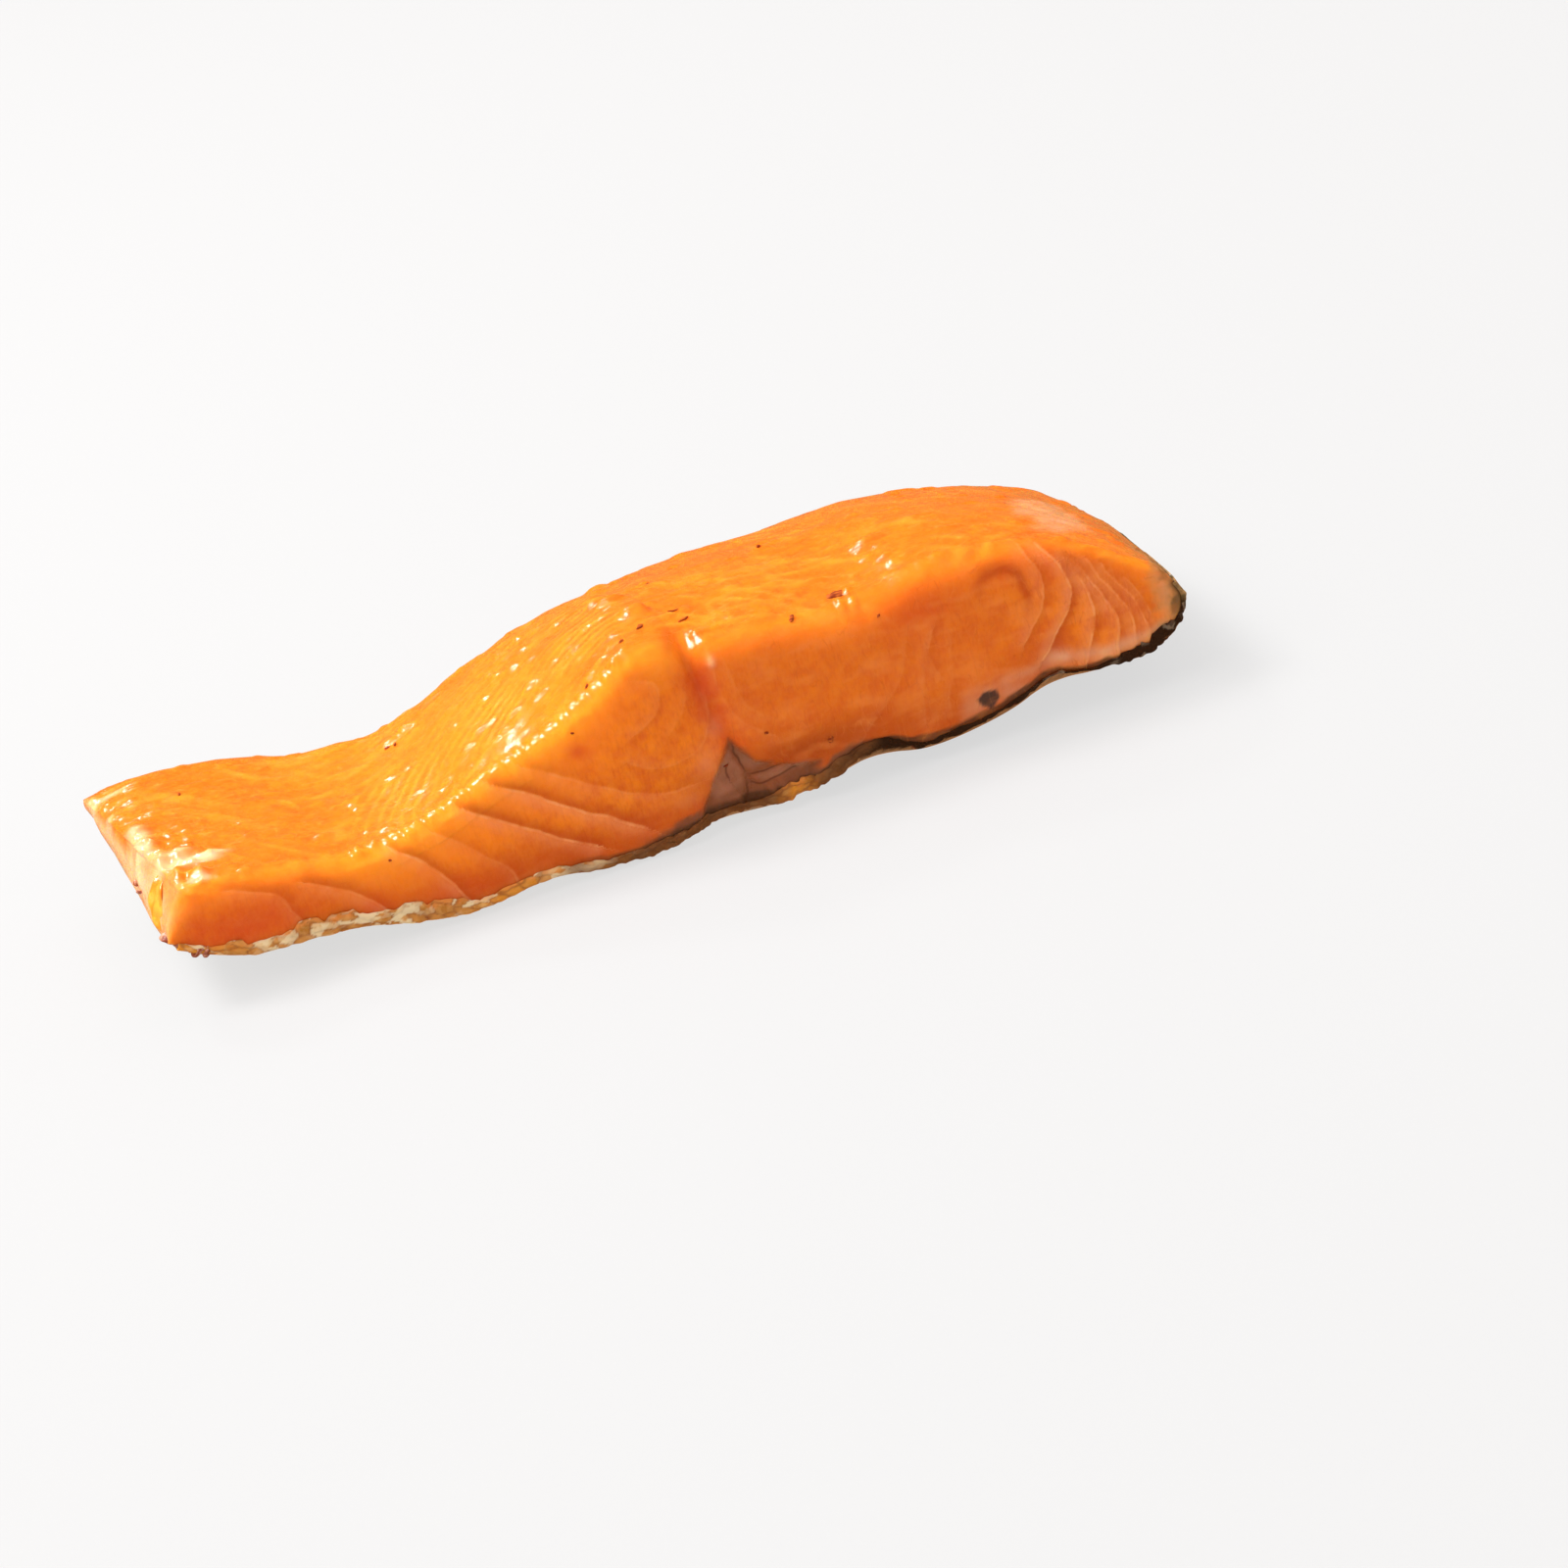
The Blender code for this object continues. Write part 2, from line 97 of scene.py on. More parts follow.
ARC_SHARE = 2 / 13                  # share of the width's steps that the rounding of a cut takes

# --- Groove between back and belly muscle, and what the cut face shows ---------------------------
SEAM_TOP_X = 8.0
SEAM_LEAN = 9.0
NOTCH_DEPTH = 2.4
NOTCH_WIDTH = (1.7, 2.1)            # towards the belly and towards the back
VALLEY_REAR = 0.15
SEAM_ON_FACE = ((29.0, 7.2), (25.0, 8.0), (21.0, 8.6), (17.0, 9.7), (14.0, 10.8), (8.0, 12.0),
                (0.0, 13.0))
SEAM_DEPTH = 1.3                    # how much deeper it is at the top than low down
SEAM_DEPTH_LOW = 0.7
SEAM_WIDTH = 2.5
SEAM_FADE = (9.0, 29.0)             # heights between which it deepens
SEAM_CRACK = (0.4, 0.7)             # crack along the groove: depth and width
DARK_MUSCLE = ((10.6, 14.6), (7.0, 9.3), (4.6, 5.4), (3.0, 2.0), (20.5, 2.0), (23.0, 6.6),
               (19.0, 7.6), (13.6, 10.0))          # outline of the dark muscle over the skin
DARK_DEPTH = 1.1
DARK_LUMPS = 0.24
FACE_SWELLS = ((-3.0, 20.0, 9.0, 9.0, 1.3), (44.0, 4.0, 14.0, 5.0, -0.9))
CORNER_DEPTH = 0.6
CORNER_REACH = 1 / 6

# Sheets of connective tissue between the flakes: how pale each shows, and its line from the top
SEPTA = (
    (0.45, ((-66.9, 16.8), (-61.3, 14.6), (-59.1, 10.8), (-58.0, 8.0))),
    (0.60, ((-56.0, 14.0), (-50.5, 10.6), (-46.6, 7.0), (-45.0, 4.2))),
    (0.75, ((-42.5, 15.0), (-38.6, 11.0), (-35.4, 6.6), (-33.6, 3.1))),
    (0.35, ((-35.5, 15.6), (-30.8, 11.0), (-27.0, 6.6), (-25.6, 3.6))),
    (0.95, ((-30.2, 17.6), (-23.6, 12.6), (-18.6, 8.4), (-13.4, 5.2))),
    (0.90, ((-25.0, 19.6), (-17.4, 14.5), (-11.1, 9.8), (-5.2, 5.2))),
    (0.40, ((-20.1, 21.2), (-11.2, 15.1), (-2.0, 10.4), (3.4, 10.0))),
    (0.25, ((-1.5, 29.3), (1.6, 28.0), (2.2, 25.8), (0.6, 23.5), (-2.6, 21.8))),
    (0.15, ((5.1, 31.2), (6.6, 27.1), (5.3, 23.2), (2.4, 19.8))),
    (0.25, ((8.9, 22.4), (7.9, 18.1), (4.4, 14.9), (-0.6, 14.8), (-5.0, 17.0))),
    (0.20, ((11.0, 28.0), (10.7, 24.5), (11.7, 20.1), (13.5, 16.7), (17.3, 13.9))),
    (0.15, ((13.0, 28.5), (13.0, 23.7), (14.2, 19.8), (16.4, 17.1))),
    (0.30, ((44.6, 22.0), (43.2, 18.6), (43.6, 15.0))),
    (0.18, ((39.6, 20.4), (37.4, 14.6), (32.6, 10.6), (29.6, 7.4))),
    (0.18, ((42.4, 18.4), (41.0, 12.4), (40.8, 7.4))),
    (0.18, ((47.0, 19.4), (45.7, 14.0), (44.6, 8.0))),
    (0.60, ((60.6, 30.4), (62.3, 25.6), (61.8, 20.6), (58.4, 15.4))),
    (0.95, ((63.2, 30.0), (66.2, 24.6), (66.0, 19.0), (60.4, 11.2))),
    (0.70, ((66.8, 26.4), (69.2, 20.4), (69.2, 14.4), (67.0, 8.6))),
    (0.75, ((67.8, 26.0), (71.2, 19.4), (72.6, 13.4), (72.2, 9.2))),
    (0.65, ((69.8, 25.2), (73.2, 18.8), (74.8, 13.6), (74.6, 9.6))),
    (0.60, ((72.2, 23.4), (75.4, 17.8), (76.6, 14.0), (77.2, 10.8))),
    (0.45, ((75.4, 20.4), (77.3, 16.4), (78.0, 13.6))),
)
SWIRL = (56.0, 22.5)                # ring of muscle: centre, half sizes
SWIRL_SIZE = (3.6, 5.4)
FLAKE_GROOVE = 0.16
FLAKE_WIDTH = 1.2
FLAKE_STEP = 0.13                   # rise of the flake on a line's right and fall on its left
FLAKE_STEP_REACH = 3.0

# Creases of the dark muscle, sunk in and painted in shade
CREASES = (
    ((10.9, 12.8), (10.8, 11.5), (11.6, 8.6), (11.5, 6.3), (11.3, 4.4), (10.5, 3.0)),
    ((11.8, 7.9), (14.3, 7.8), (17.1, 8.3)),
    ((12.0, 6.7), (13.9, 5.8), (16.2, 6.1), (19.2, 6.6)),
    ((9.1, 10.3), (8.7, 9.3), (8.9, 8.3)),
)
CREASE_DEPTH = 0.25
CREASE_WIDTH = 0.5
# Its mauve parts, where a film of membrane is left on it: outlines
MEMBRANES = (
    ((10.4, 12.8), (6.8, 9.8), (5.8, 7.4), (6.8, 5.2), (10.6, 4.6), (11.3, 6.6), (11.2, 9.0)),
    ((11.0, 13.2), (12.4, 11.4), (14.6, 9.2), (13.2, 8.5), (11.8, 9.2)),
    ((13.5, 7.0), (17.0, 7.7), (21.2, 7.6), (21.6, 6.6), (17.5, 6.2), (14.0, 6.0)),
)
# Redder parts of the cut face: x, height, reaches, strength
RED_PARTS = (
    (8.6, 24.6, 2.6, 4.2, 1.0), (10.0, 19.0, 2.2, 4.0, 0.6), (-11.9, 21.3, 1.7, 1.5, 0.8),
    (-66.0, 10.5, 10.5, 4.5, 0.9), (-36.0, 5.0, 9.0, 2.5, 0.5), (-47.0, 6.5, 3.0, 2.4, 0.6),
    (43.0, 26.0, 5.5, 3.5, 0.55), (57.5, 27.5, 3.0, 2.0, 0.4),
    (64.0, 26.0, 2.0, 4.5, 0.4), (11.5, 14.0, 2.0, 2.0, 0.6),
    (-73.0, 10.5, 4.5, 5.0, 0.75),
)
# Outline of the dry, fibrous part of the top, near the back: (x, y)
BARE_PATCH = ((64.5, -9), (66, -14.5), (70, -14.6), (73.8, -12.6), (74, -5), (72.5, 3), (69, 5),
              (66, 0))
# Parts of the cut face that are paler, under a film of membrane
PINK_PARTS = ((6.6, 12.2, 2.6, 3.4, 0.8), (8.8, 17.2, 1.4, 1.8, 0.7), (2.0, 7.6, 3.0, 1.6, 0.5),
              (62.5, 10.5, 2.4, 2.0, 0.9), (68.5, 9.6, 1.6, 1.6, 0.7))
# Chip of dark skin that sticks to the cut face
SKIN_CHIP = ((49.0, 8.3), (49.9, 9.3), (52.0, 9.0), (52.4, 7.4), (50.9, 5.8), (49.7, 6.7))
# Thicker fat low on the cut face
FAT_PART = ((46, 5), (56, 7), (60, 11), (55, 11), (47, 10))
# Yellow-brown stains round herb flakes: x, y, reaches, strength
STAINS = ((-36.3, 14.6, 1.6, 1.0, 1.0), (-70.2, 10.1, 0.8, 0.6, 0.6))
# Creamy painted highlights of the belly end, over paler skin: x, y, reaches, strength
CREAM_HIGHLIGHTS = (
    (-77.8, -2.0, 1.8, 2.4, 0.75), (-77.6, -6.4, 1.6, 2.8, 0.85), (-76.4, -10.2, 1.4, 2.0, 0.6),
    (-74.6, -12.6, 3.2, 2.2, 0.7), (-70.8, -14.4, 3.2, 1.2, 0.9), (-67.4, -13.4, 2.0, 0.8, 0.5),
    (-81.0, 9.0, 0.9, 1.3, 0.6), (-83.0, 17.2, 0.9, 1.6, 0.6), (-79.6, 17.4, 3.0, 0.8, 0.5),
    (-70.8, -20.4, 1.6, 0.9, 0.6),
)

# --- Measures of the relief -----------------------------------------------------------------------
# Beads and bumps: x, y, reach along x, reach along y, height
TOP_BUMPS = (
    (1.2, 12.0, 1.7, 1.2, 0.7), (3.3, -8.2, 2.2, 1.9, 1.3), (7.8, -12.4, 1.2, 0.7, 0.5),
    (8.3, -15.6, 1.6, 0.5, 0.3),
    (-0.6, 3.5, 1.7, 1.0, 0.9), (1.3, 0.7, 2.4, 1.1, 1.0), (7.6, 4.2, 0.8, 0.6, 0.4),
    (6.5, -5.6, 0.9, 0.7, 0.3), (16.1, 17.6, 2.3, 2.0, 0.3), (20.6, 16.8, 1.9, 1.7, 0.3),
    (1.6, 17.0, 1.7, 1.4, 0.8), (40.9, -7.3, 2.6, 1.2, 0.9), (42.1, -13.8, 1.3, 0.6, 0.4),
    (26.5, 5.0, 1.5, 0.7, 0.5), (28.0, -2.4, 1.7, 0.5, 0.4), (29.3, 6.9, 0.9, 0.5, 0.4),
    (32.4, -20.0, 0.7, 1.4, 0.6), (34.3, -17.9, 0.8, 0.8, 0.6),
    (34.2, -20.6, 0.7, 1.1, 0.5), (31.4, -11.9, 2.0, 0.9, 0.4), (27.7, -13.9, 1.3, 0.8, 0.4),
    (45.8, -20.2, 0.9, 1.5, 0.25), (48.4, -20.0, 1.5, 1.2, 0.6), (52.5, -20.6, 1.2, 1.0, 0.4),
    (67.6, -19.8, 1.1, 1.1, 0.5), (-0.3, -19.5, 1.4, 1.2, 0.4), (-2.6, -20.4, 1.2, 1.0, 0.4),
    (-13.4, 7.1, 1.7, 1.1, 0.5), (-15.9, 3.5, 1.6, 1.1, 0.5), (-18.2, 5.7, 1.3, 0.9, 0.4),
    (-14.7, -7.0, 1.5, 1.0, 0.4), (-20.5, -13.7, 1.3, 0.9, 0.4), (-26.4, -10.0, 1.3, 0.9, 0.4),
    (-36.6, 12.6, 1.7, 1.2, 0.5), (-33.1, 13.4, 1.5, 1.1, 0.5), (-51.3, -13.8, 1.4, 0.9, 0.5),
    (-61.4, -9.6, 1.3, 0.8, 0.4), (-66.6, 12.3, 1.3, 1.1, 0.4), (-44.6, -20.2, 0.7, 1.1, 0.6),
    (-47.4, -20.6, 0.7, 1.1, 0.5), (-64.0, -21.0, 1.0, 0.8, 0.4),
    (-77.6, 0.4, 2.4, 2.8, 1.1), (-76.6, -5.6, 2.2, 2.6, 1.0), (-75.4, -10.4, 1.6, 2.0, 0.6),
    (-71.4, -11.4, 2.8, 1.3, 0.9), (-67.4, -13.6, 2.0, 1.0, 0.6), (-70.6, -18.6, 1.7, 1.1, 0.6),
    (-73.4, -17.0, 1.0, 1.6, 0.7), (-79.6, 8.6, 1.4, 1.7, 0.6), (-80.6, 14.0, 1.3, 1.6, 0.6),
    (-82.4, 19.0, 1.2, 1.4, 0.5), (-74.0, 5.0, 1.4, 1.0, 0.5), (-71.0, -2.4, 1.4, 0.9, 0.5),
    (-75.6, 17.4, 2.6, 0.8, 0.5), (-70.6, 14.6, 2.2, 0.7, 0.4),
)
# Pillows along the front top edge: x, reach along it, height
EDGE_PILLOWS = (
    (-42.6, 0.7, 0.25), (-41.0, 0.7, 0.3), (-39.4, 0.7, 0.35), (-37.7, 0.8, 0.35),
    (-35.0, 1.4, 0.6),
    (-32.0, 1.2, 0.5), (-29.9, 0.7, 0.4), (-28.0, 0.7, 0.35), (-26.2, 1.1, 0.5), (-23.9, 1.0, 0.45),
    (-21.9, 0.7, 0.3), (-20.2, 0.6, 0.3), (-17.6, 0.8, 0.2), (-15.0, 0.8, 0.2), (-47.0, 0.9, 0.25),
    (-51.5, 0.9, 0.2), (-56.0, 1.2, 0.25), (-12.8, 0.6, 0.3), (-10.9, 0.7, 0.35),
    (-9.0, 0.6, 0.3), (-7.1, 0.8, 0.35), (-5.0, 0.6, 0.3), (-3.0, 0.8, 0.3), (-0.8, 0.7, 0.25),
)
NOTCH_BEAD = (10.9, 28.3, 0.55, 0.85)   # bead on the cut face: x, height, reaches
BEAD_HEIGHT = 0.45
RIB_CENTRE = (0.0, -30.0)           # the ribs of the slope curve round this point
RIB_STEP = 2.0                      # distance between ribs
RIB_HEIGHT = 0.09
PUCKER_HEIGHT = 0.28                # small wet swells between the streaks
STREAK_LONG = 9.0                   # a streak's length and width on the belly and on the back
STREAK_WIDE = 1.6
STREAK_HEIGHT = 0.07
FOLD_WIDE = 6.5                     # wide low folds between them
FOLD_HEIGHT = 0.22
WRINKLE_HEIGHT = 0.09
SHRUNK_HEIGHT = 1.15                # crinkles of the thin belly corner
REAR_EDGE_WAVE = 0.5                # the rear top edge rises and falls by this
CUT_SWELL = 0.10                    # low swells and fibres of the cut faces
CUT_FIBRE = 0.035
END_SWELL = 0.3                     # swells of the belly end

# --- Mesh steps of the flesh ----------------------------------------------------------------------
FLESH_LONG = 440
# Rows round the section: count, then start and end as (front turn, share across, rear turn, height)
SECTION = (
    (62, (0, 0, 1, 0), (0, 0, 1, 1)),
    (9, (0, 0, 1, 1), (1, 0, 1, 1)),
    (92, (1, 0, 1, 1), (1, 1, 1, 1)),
    (4, (1, 1, 1, 1), (1, 1, 0, 1)),
    (24, (1, 1, 0, 1), (1, 1, 0, 0)),
    (2, (1, 1, 0, 0), (1, 1, 1, 0)),
    (5, (1, 1, 1, 0), (1, 0, 1, 0)),
    (3, (1, 0, 1, 0), (0, 0, 1, 0)),
)
CAP_LOOPS = 14
FLESH_GROW = 0.85                   # the flesh reaches this much nearer to its skin than the solid

# --- Measures of the skin -------------------------------------------------------------------------
SKIN_GROW = 1.12                    # middle of the thin skin, near the outer side of its solid
SKIN_LONG = 640
SKIN_START = 0.008                  # share of the length by which the flesh overhangs the skin
SKIN_NOSE = 64
SKIN_NOSE_REACH = 0.84
SKIN_NOSE_WAVE = 0.05
BORDER_ROWS = 13
UNDER_ROWS = 20
# How far the dried border stands up over the cut face, by x
BORDER_HEIGHT = ((-86, 0.5), (-80, 0.7), (-74, 1.3), (-69, 2.4), (-63, 2.8), (-58, 3.9),
                 (-54, 3.4), (-48, 3.0), (-42, 3.4), (-34, 2.6), (-22, 2.0), (-8, 1.9), (4, 2.0),
                 (14, 1.6), (19, 2.8), (23, 1.8), (28, 2.6), (33, 2.4), (39, 1.2), (46, 1.2),
                 (54, 0.9), (59, 0.4), (67, 0.4), (71, 1.8), (78, 2.6), (83, 1.6), (86, 0.5))
FLAP_LEAST = 0.48                   # share of that height between the torn flaps
BORDER_OUT = 0.20                   # how far outside the cut face it lies
BORDER_LEAST_OUT = 0.12
BORDER_FOLLOWS = (-1.4, 0.6)        # it follows the relief of the cut face between these heights
NICK_DEPTHS = (0.45, 0.25)          # large and small nicks along its root
RAGGED = 0.12                       # how ragged its torn edge is, as a share of its height
FLAP_BULGE = 0.25                   # how far its flaps bulge
CRUMPLE = 0.45                      # depth of its folds
OTHER_SIDE = 200.0                  # shift that gives the rear border folds of its own
SHEET_THICK = 0.26                  # the skin as it really is, and its dried border
BORDER_THICK = (0.24, 0.14)         # at its root and at its torn edge


# --- Curves, soft steps and lumps -----------------------------------------------------------------
# Lengths below are in millimetres: x along the portion, y across it, z up. The last number
# given to lumps and facets is a seed.
def curve(points, x):
    """Height at x on the smooth curve through points."""
    px, pz = np.array(points, float).T
    slope = np.gradient(pz, px)
    i = np.clip(np.searchsorted(px, x) - 1, 0, len(px) - 2)
    step = px[i + 1] - px[i]
    t = np.clip((x - px[i]) / step, 0.0, 1.0)
    rise = pz[i] + (pz[i + 1] - pz[i]) * t * t * (3 - 2 * t)
    return rise + step * t * (1 - t) * ((1 - t) * slope[i] - t * slope[i + 1])


def smooth(t):
    """0 below 0, 1 above 1, with a soft start and end between them."""
    t = np.clip(t, 0.0, 1.0)
    return t * t * (3 - 2 * t)


def sets_in(x, start, length):
    """0 before start, 1 from start + length on."""
    return smooth((x - start) / length)


def fades(x, start, length):
    """1 before start, 0 from start + length on."""
    return 1 - smooth((x - start) / length)


def bell(x, centre, reach):
    """1 at the centre, fading away on both sides."""
    return np.exp(-((x - centre) / reach) ** 2)


def seam_x(v):
    """Where the groove crosses the top, at share v of the width."""
    return SEAM_TOP_X - SEAM_LEAN * v ** 1.5


def top_height(x, v):
    """Height of the top, with the notch over the groove."""
    height = curve(FRONT_TOP, x) * (1 - v) + curve(REAR_TOP, x) * v
    height += curve(DOME, x) * 4 * v * (1 - v)
    depth = NOTCH_DEPTH * (VALLEY_REAR + (1 - VALLEY_REAR) * (1 - smooth(v / 0.25)))
    off = x - seam_x(v)
    return height - depth * bell(off, 0, np.where(off < 0, *NOTCH_WIDTH))


def foot_height(x, v):
    """Height of the underside, flat in the middle and raised along its edges."""
    middle = np.maximum(curve(MIDDLE_FOOT, x), 0.0)
    front = np.clip((FOOT_EDGE - v) / FOOT_EDGE, 0, 1) ** 2
    rear = np.clip((v - 1 + FOOT_EDGE) / FOOT_EDGE, 0, 1) ** 2
    edges = front * (curve(FRONT_FOOT, x) - middle) + rear * (curve(REAR_FOOT, x) - middle)
    return np.maximum(middle + edges, 0.0)


def edge_round(x, w):
    """Radius of the cut's edges: larger along the top than along the foot."""
    return FOOT_ROUND + (curve(TOP_ROUND, x) - FOOT_ROUND) * smooth(w)


def round_ends(x0, x1, x, q):
    """Pull in the corners of both ends; q is -1 at the foot and 1 at the top."""
    into_nose = np.clip((x - (x1 - NOSE_LENGTH)) / NOSE_LENGTH, 0, 1)
    into_belly = np.clip((x0 + BELLY_NOSE - x) / BELLY_NOSE, 0, 1)
    new_x = x + NOSE_LENGTH * into_nose * (np.sqrt(1 - NOSE_ROUNDNESS * q * q / 2) - 1)
    new_x = new_x - BELLY_NOSE * into_belly * (np.sqrt(1 - BELLY_ROUNDNESS * q * q / 2) - 1)
    new_q = q * np.sqrt(1 - NOSE_ROUNDNESS * into_nose ** 2 / 2)
    new_q = new_q * np.sqrt(1 - BELLY_ROUNDNESS * into_belly ** 2 / 2)
    return new_x, new_q


def end_positions(v, w):
    """x of the belly end and of the back end."""
    top = BELLY_END_TOP[0] + (BELLY_END_TOP[1] - BELLY_END_TOP[0]) * v
    foot = BELLY_END_FOOT[0] + (BELLY_END_FOOT[1] - BELLY_END_FOOT[0]) * v
    return foot + (top - foot) * w, BACK_END - BACK_END_PULL * sets_in(v, 0.6, 0.4)


def place(u, v, w, inset, grow):
    """(x, z) for shares u, v, w of the length, width and height, as in the model."""
    x0, x1 = end_positions(v, w)
    x1 = x1 + grow
    rounding = edge_round(x0 + u * (x1 - x0), w) * inset
    x = (x0 + rounding) + u * (x1 - x0 - 2 * rounding)
    round_x, round_q = round_ends(x0, x1, x, 2 * w - 1)
    foot = foot_height(round_x, v) + SKIN_THICK + SKIN_GAP - grow
    foot = foot + edge_round(round_x, 0.0) * inset
    top = top_height(round_x, v) - edge_round(round_x, 1.0) * inset + grow * smooth(u * 8 - 7)
    return round_x, foot + (top - foot) * (round_q + 1) / 2


def smooth_line(points, steps=4):
    """A finer line through points, rounded at each of them."""
    points = np.array(points, float)
    knots = np.arange(len(points))
    t = np.linspace(0, len(points) - 1, steps * (len(points) - 1) + 1)
    return np.stack([curve(np.stack([knots, values], 1), t) for values in points.T], 1)


def off_piece(start, end, x, z):
    """Distance from (x, z) to the straight piece between two points."""
    (ax, az), (dx, dz) = start, end - start
    t = np.clip(((x - ax) * dx + (z - az) * dz) / (dx * dx + dz * dz), 0, 1)
    return np.hypot(x - ax - t * dx, z - az - t * dz)


def from_line(points, x, z):
    """Distance from (x, z) to a line that wanders a little, positive on its left side."""
    bend = 0.5 * lumps(x, 0, z, 3.8, 71) + 0.12 * lumps(x, 0, z, 0.9, 70)
    x, z = x + bend, z + 0.35 * lumps(x, 0, z, 3.8, 72)
    best = np.full(np.shape(x), 1e3)
    side = np.ones(np.shape(x))
    line = smooth_line(points)
    for start, end in zip(line[:-1], line[1:]):
        gap = off_piece(start, end, x, z)
        (ax, az), (dx, dz) = start, end - start
        nearer = gap < best
        best = np.where(nearer, gap, best)
        side = np.where(nearer, np.sign(dx * (z - az) - dz * (x - ax)), side)
    return best * side


def inside(corners, x, z, soft):
    """1 inside an outline of corners, 0 outside it, over a soft border."""
    corners = np.array(corners, float)
    turns = np.zeros(np.shape(x))
    gap = np.full(np.shape(x), 1e3)
    for start, end in zip(corners, np.roll(corners, -1, axis=0)):
        gap = np.minimum(gap, off_piece(start, end, x, z))
        (ax, az), (dx, dz) = start, end - start
        crossed = (az > z) != (end[1] > z)
        at = ax + (z - az) / np.where(dz == 0, 1e-9, dz) * dx
        turns += crossed & (x < at)
    signed = np.where(turns % 2 == 1, gap, -gap)
    return smooth(0.5 + signed / soft)


def scattered(cells, seed):
    """A fixed random number from 0 to 1 for each cell of a grid."""
    mixed = np.int64(seed) * 1013
    for cell, prime in zip(cells, (73856093, 19349663, 83492791)):
        mixed = mixed ^ (cell * prime)
    mixed = (mixed ^ (mixed >> 13)) * 1274126177 & 0x7FFFFFFF
    return (mixed ^ (mixed >> 16)) % 65536 / 65536.0


def lumps(x, y, z, size, seed):
    """Smooth random swells from -1 to 1, about size apart along each axis."""
    sizes = np.broadcast_to(np.array(size, float), 3)
    axes = [np.asarray(a, float) / s + 17.3 * seed for a, s in zip((x, y, z), sizes)]
    cells = [np.floor(a).astype(np.int64) for a in axes]
    shares = [smooth(a - c) for a, c in zip(axes, cells)]
    total = 0.0
    for corner in np.ndindex(2, 2, 2):
        weight = 1.0
        for share, step in zip(shares, corner):
            weight = weight * (share if step else 1 - share)
        here = [cell + step for cell, step in zip(cells, corner)]
        total = total + weight * (2 * scattered(here, seed) - 1.0)
    return total


def along_turn(x, y, turn):
    """How far (x, y) lies along a direction turned by turn, and across it."""
    return x * np.cos(turn) + y * np.sin(turn), y * np.cos(turn) - x * np.sin(turn)


def facets(a, b, size, seed):
    """Facets as on crumpled foil: depth below each peak, tone of each, distance to its edge."""
    a, b = a / size + 31.7 * seed, b / size
    column, row = np.floor(a).astype(np.int64), np.floor(b).astype(np.int64)
    nearest, second = np.full(np.shape(a), 9.0), np.full(np.shape(a), 9.0)
    tone = np.zeros(np.shape(a))
    for step_a, step_b in np.ndindex(3, 3):
        cell = (column + step_a - 1, row + step_b - 1)
        off_a = a - cell[0] - scattered(cell, seed)
        off_b = b - cell[1] - scattered(cell, seed + 1)
        along, across = along_turn(off_a, off_b, math.pi * scattered(cell, seed + 2))
        depth = np.maximum(np.abs(along), 1.5 * np.abs(across))
        nearer = depth < nearest
        second = np.where(nearer, nearest, np.minimum(second, depth))
        nearest = np.where(nearer, depth, nearest)
        tone = np.where(nearer, scattered(cell, seed + 3), tone)
    return nearest, tone, second - nearest


# --- Form of the flesh ----------------------------------------------------------------------------
def flesh_lattice():
    """Shares (u, front turn, share across, rear turn, height) of every vertex, and the faces."""
    ring = np.concatenate([np.array(a, float) + np.outer(np.arange(n) / n, np.subtract(b, a))
                           for n, a, b in SECTION])
    rows = len(ring)
    shares = [np.column_stack([np.full(rows, i / FLESH_LONG), ring]) for i in range(FLESH_LONG + 1)]
    faces = []
    for i in range(FLESH_LONG):
        for r in range(rows):
            a, b = i * rows + r, i * rows + (r + 1) % rows
            faces.append((a, a + rows, b + rows, b))
    step = ring[:, 0] * ARC_SHARE + ring[:, 1] * (1 - 2 * ARC_SHARE) + (1 - ring[:, 2]) * ARC_SHARE
    count = (FLESH_LONG + 1) * rows
    for end, first in ((0.0, 0), (1.0, FLESH_LONG * rows)):
        outer = first
        for loop in range(1, CAP_LOOPS + 1):
            shrink = 1 - loop / (CAP_LOOPS + 1)
            across = 0.5 + (step - 0.5) * shrink
            shares.append(np.column_stack([
                np.full(rows, end), np.clip(across / ARC_SHARE, 0, 1),
                np.clip((across - ARC_SHARE) / (1 - 2 * ARC_SHARE), 0, 1),
                np.clip((1 - across) / ARC_SHARE, 0, 1), 0.5 + (ring[:, 3] - 0.5) * shrink]))
            for r in range(rows):
                quad = (outer + r, outer + (r + 1) % rows, count + (r + 1) % rows, count + r)
                faces.append(quad if end == 0 else quad[::-1])
            outer = count
            count += rows
        shares.append(np.array([[end, 1, 0.5, 1, 0.5]]))
        for r in range(rows):
            fan = (outer + r, outer + (r + 1) % rows, count)
            faces.append(fan if end == 0 else fan[::-1])
        count += 1
    return np.concatenate(shares), faces


def swirl_ring(x, z):
    """Distance from the muscle ring's centre, 1 on the ring, and how plainly the ring shows."""
    across, up = (x - SWIRL[0]) / SWIRL_SIZE[0], (z - SWIRL[1]) / SWIRL_SIZE[1]
    ring = np.hypot(across, up) + 0.10 * lumps(x, 0, z, 2.4, 73)
    return ring, smooth(0.45 + 0.5 * up + 0.35 * across)


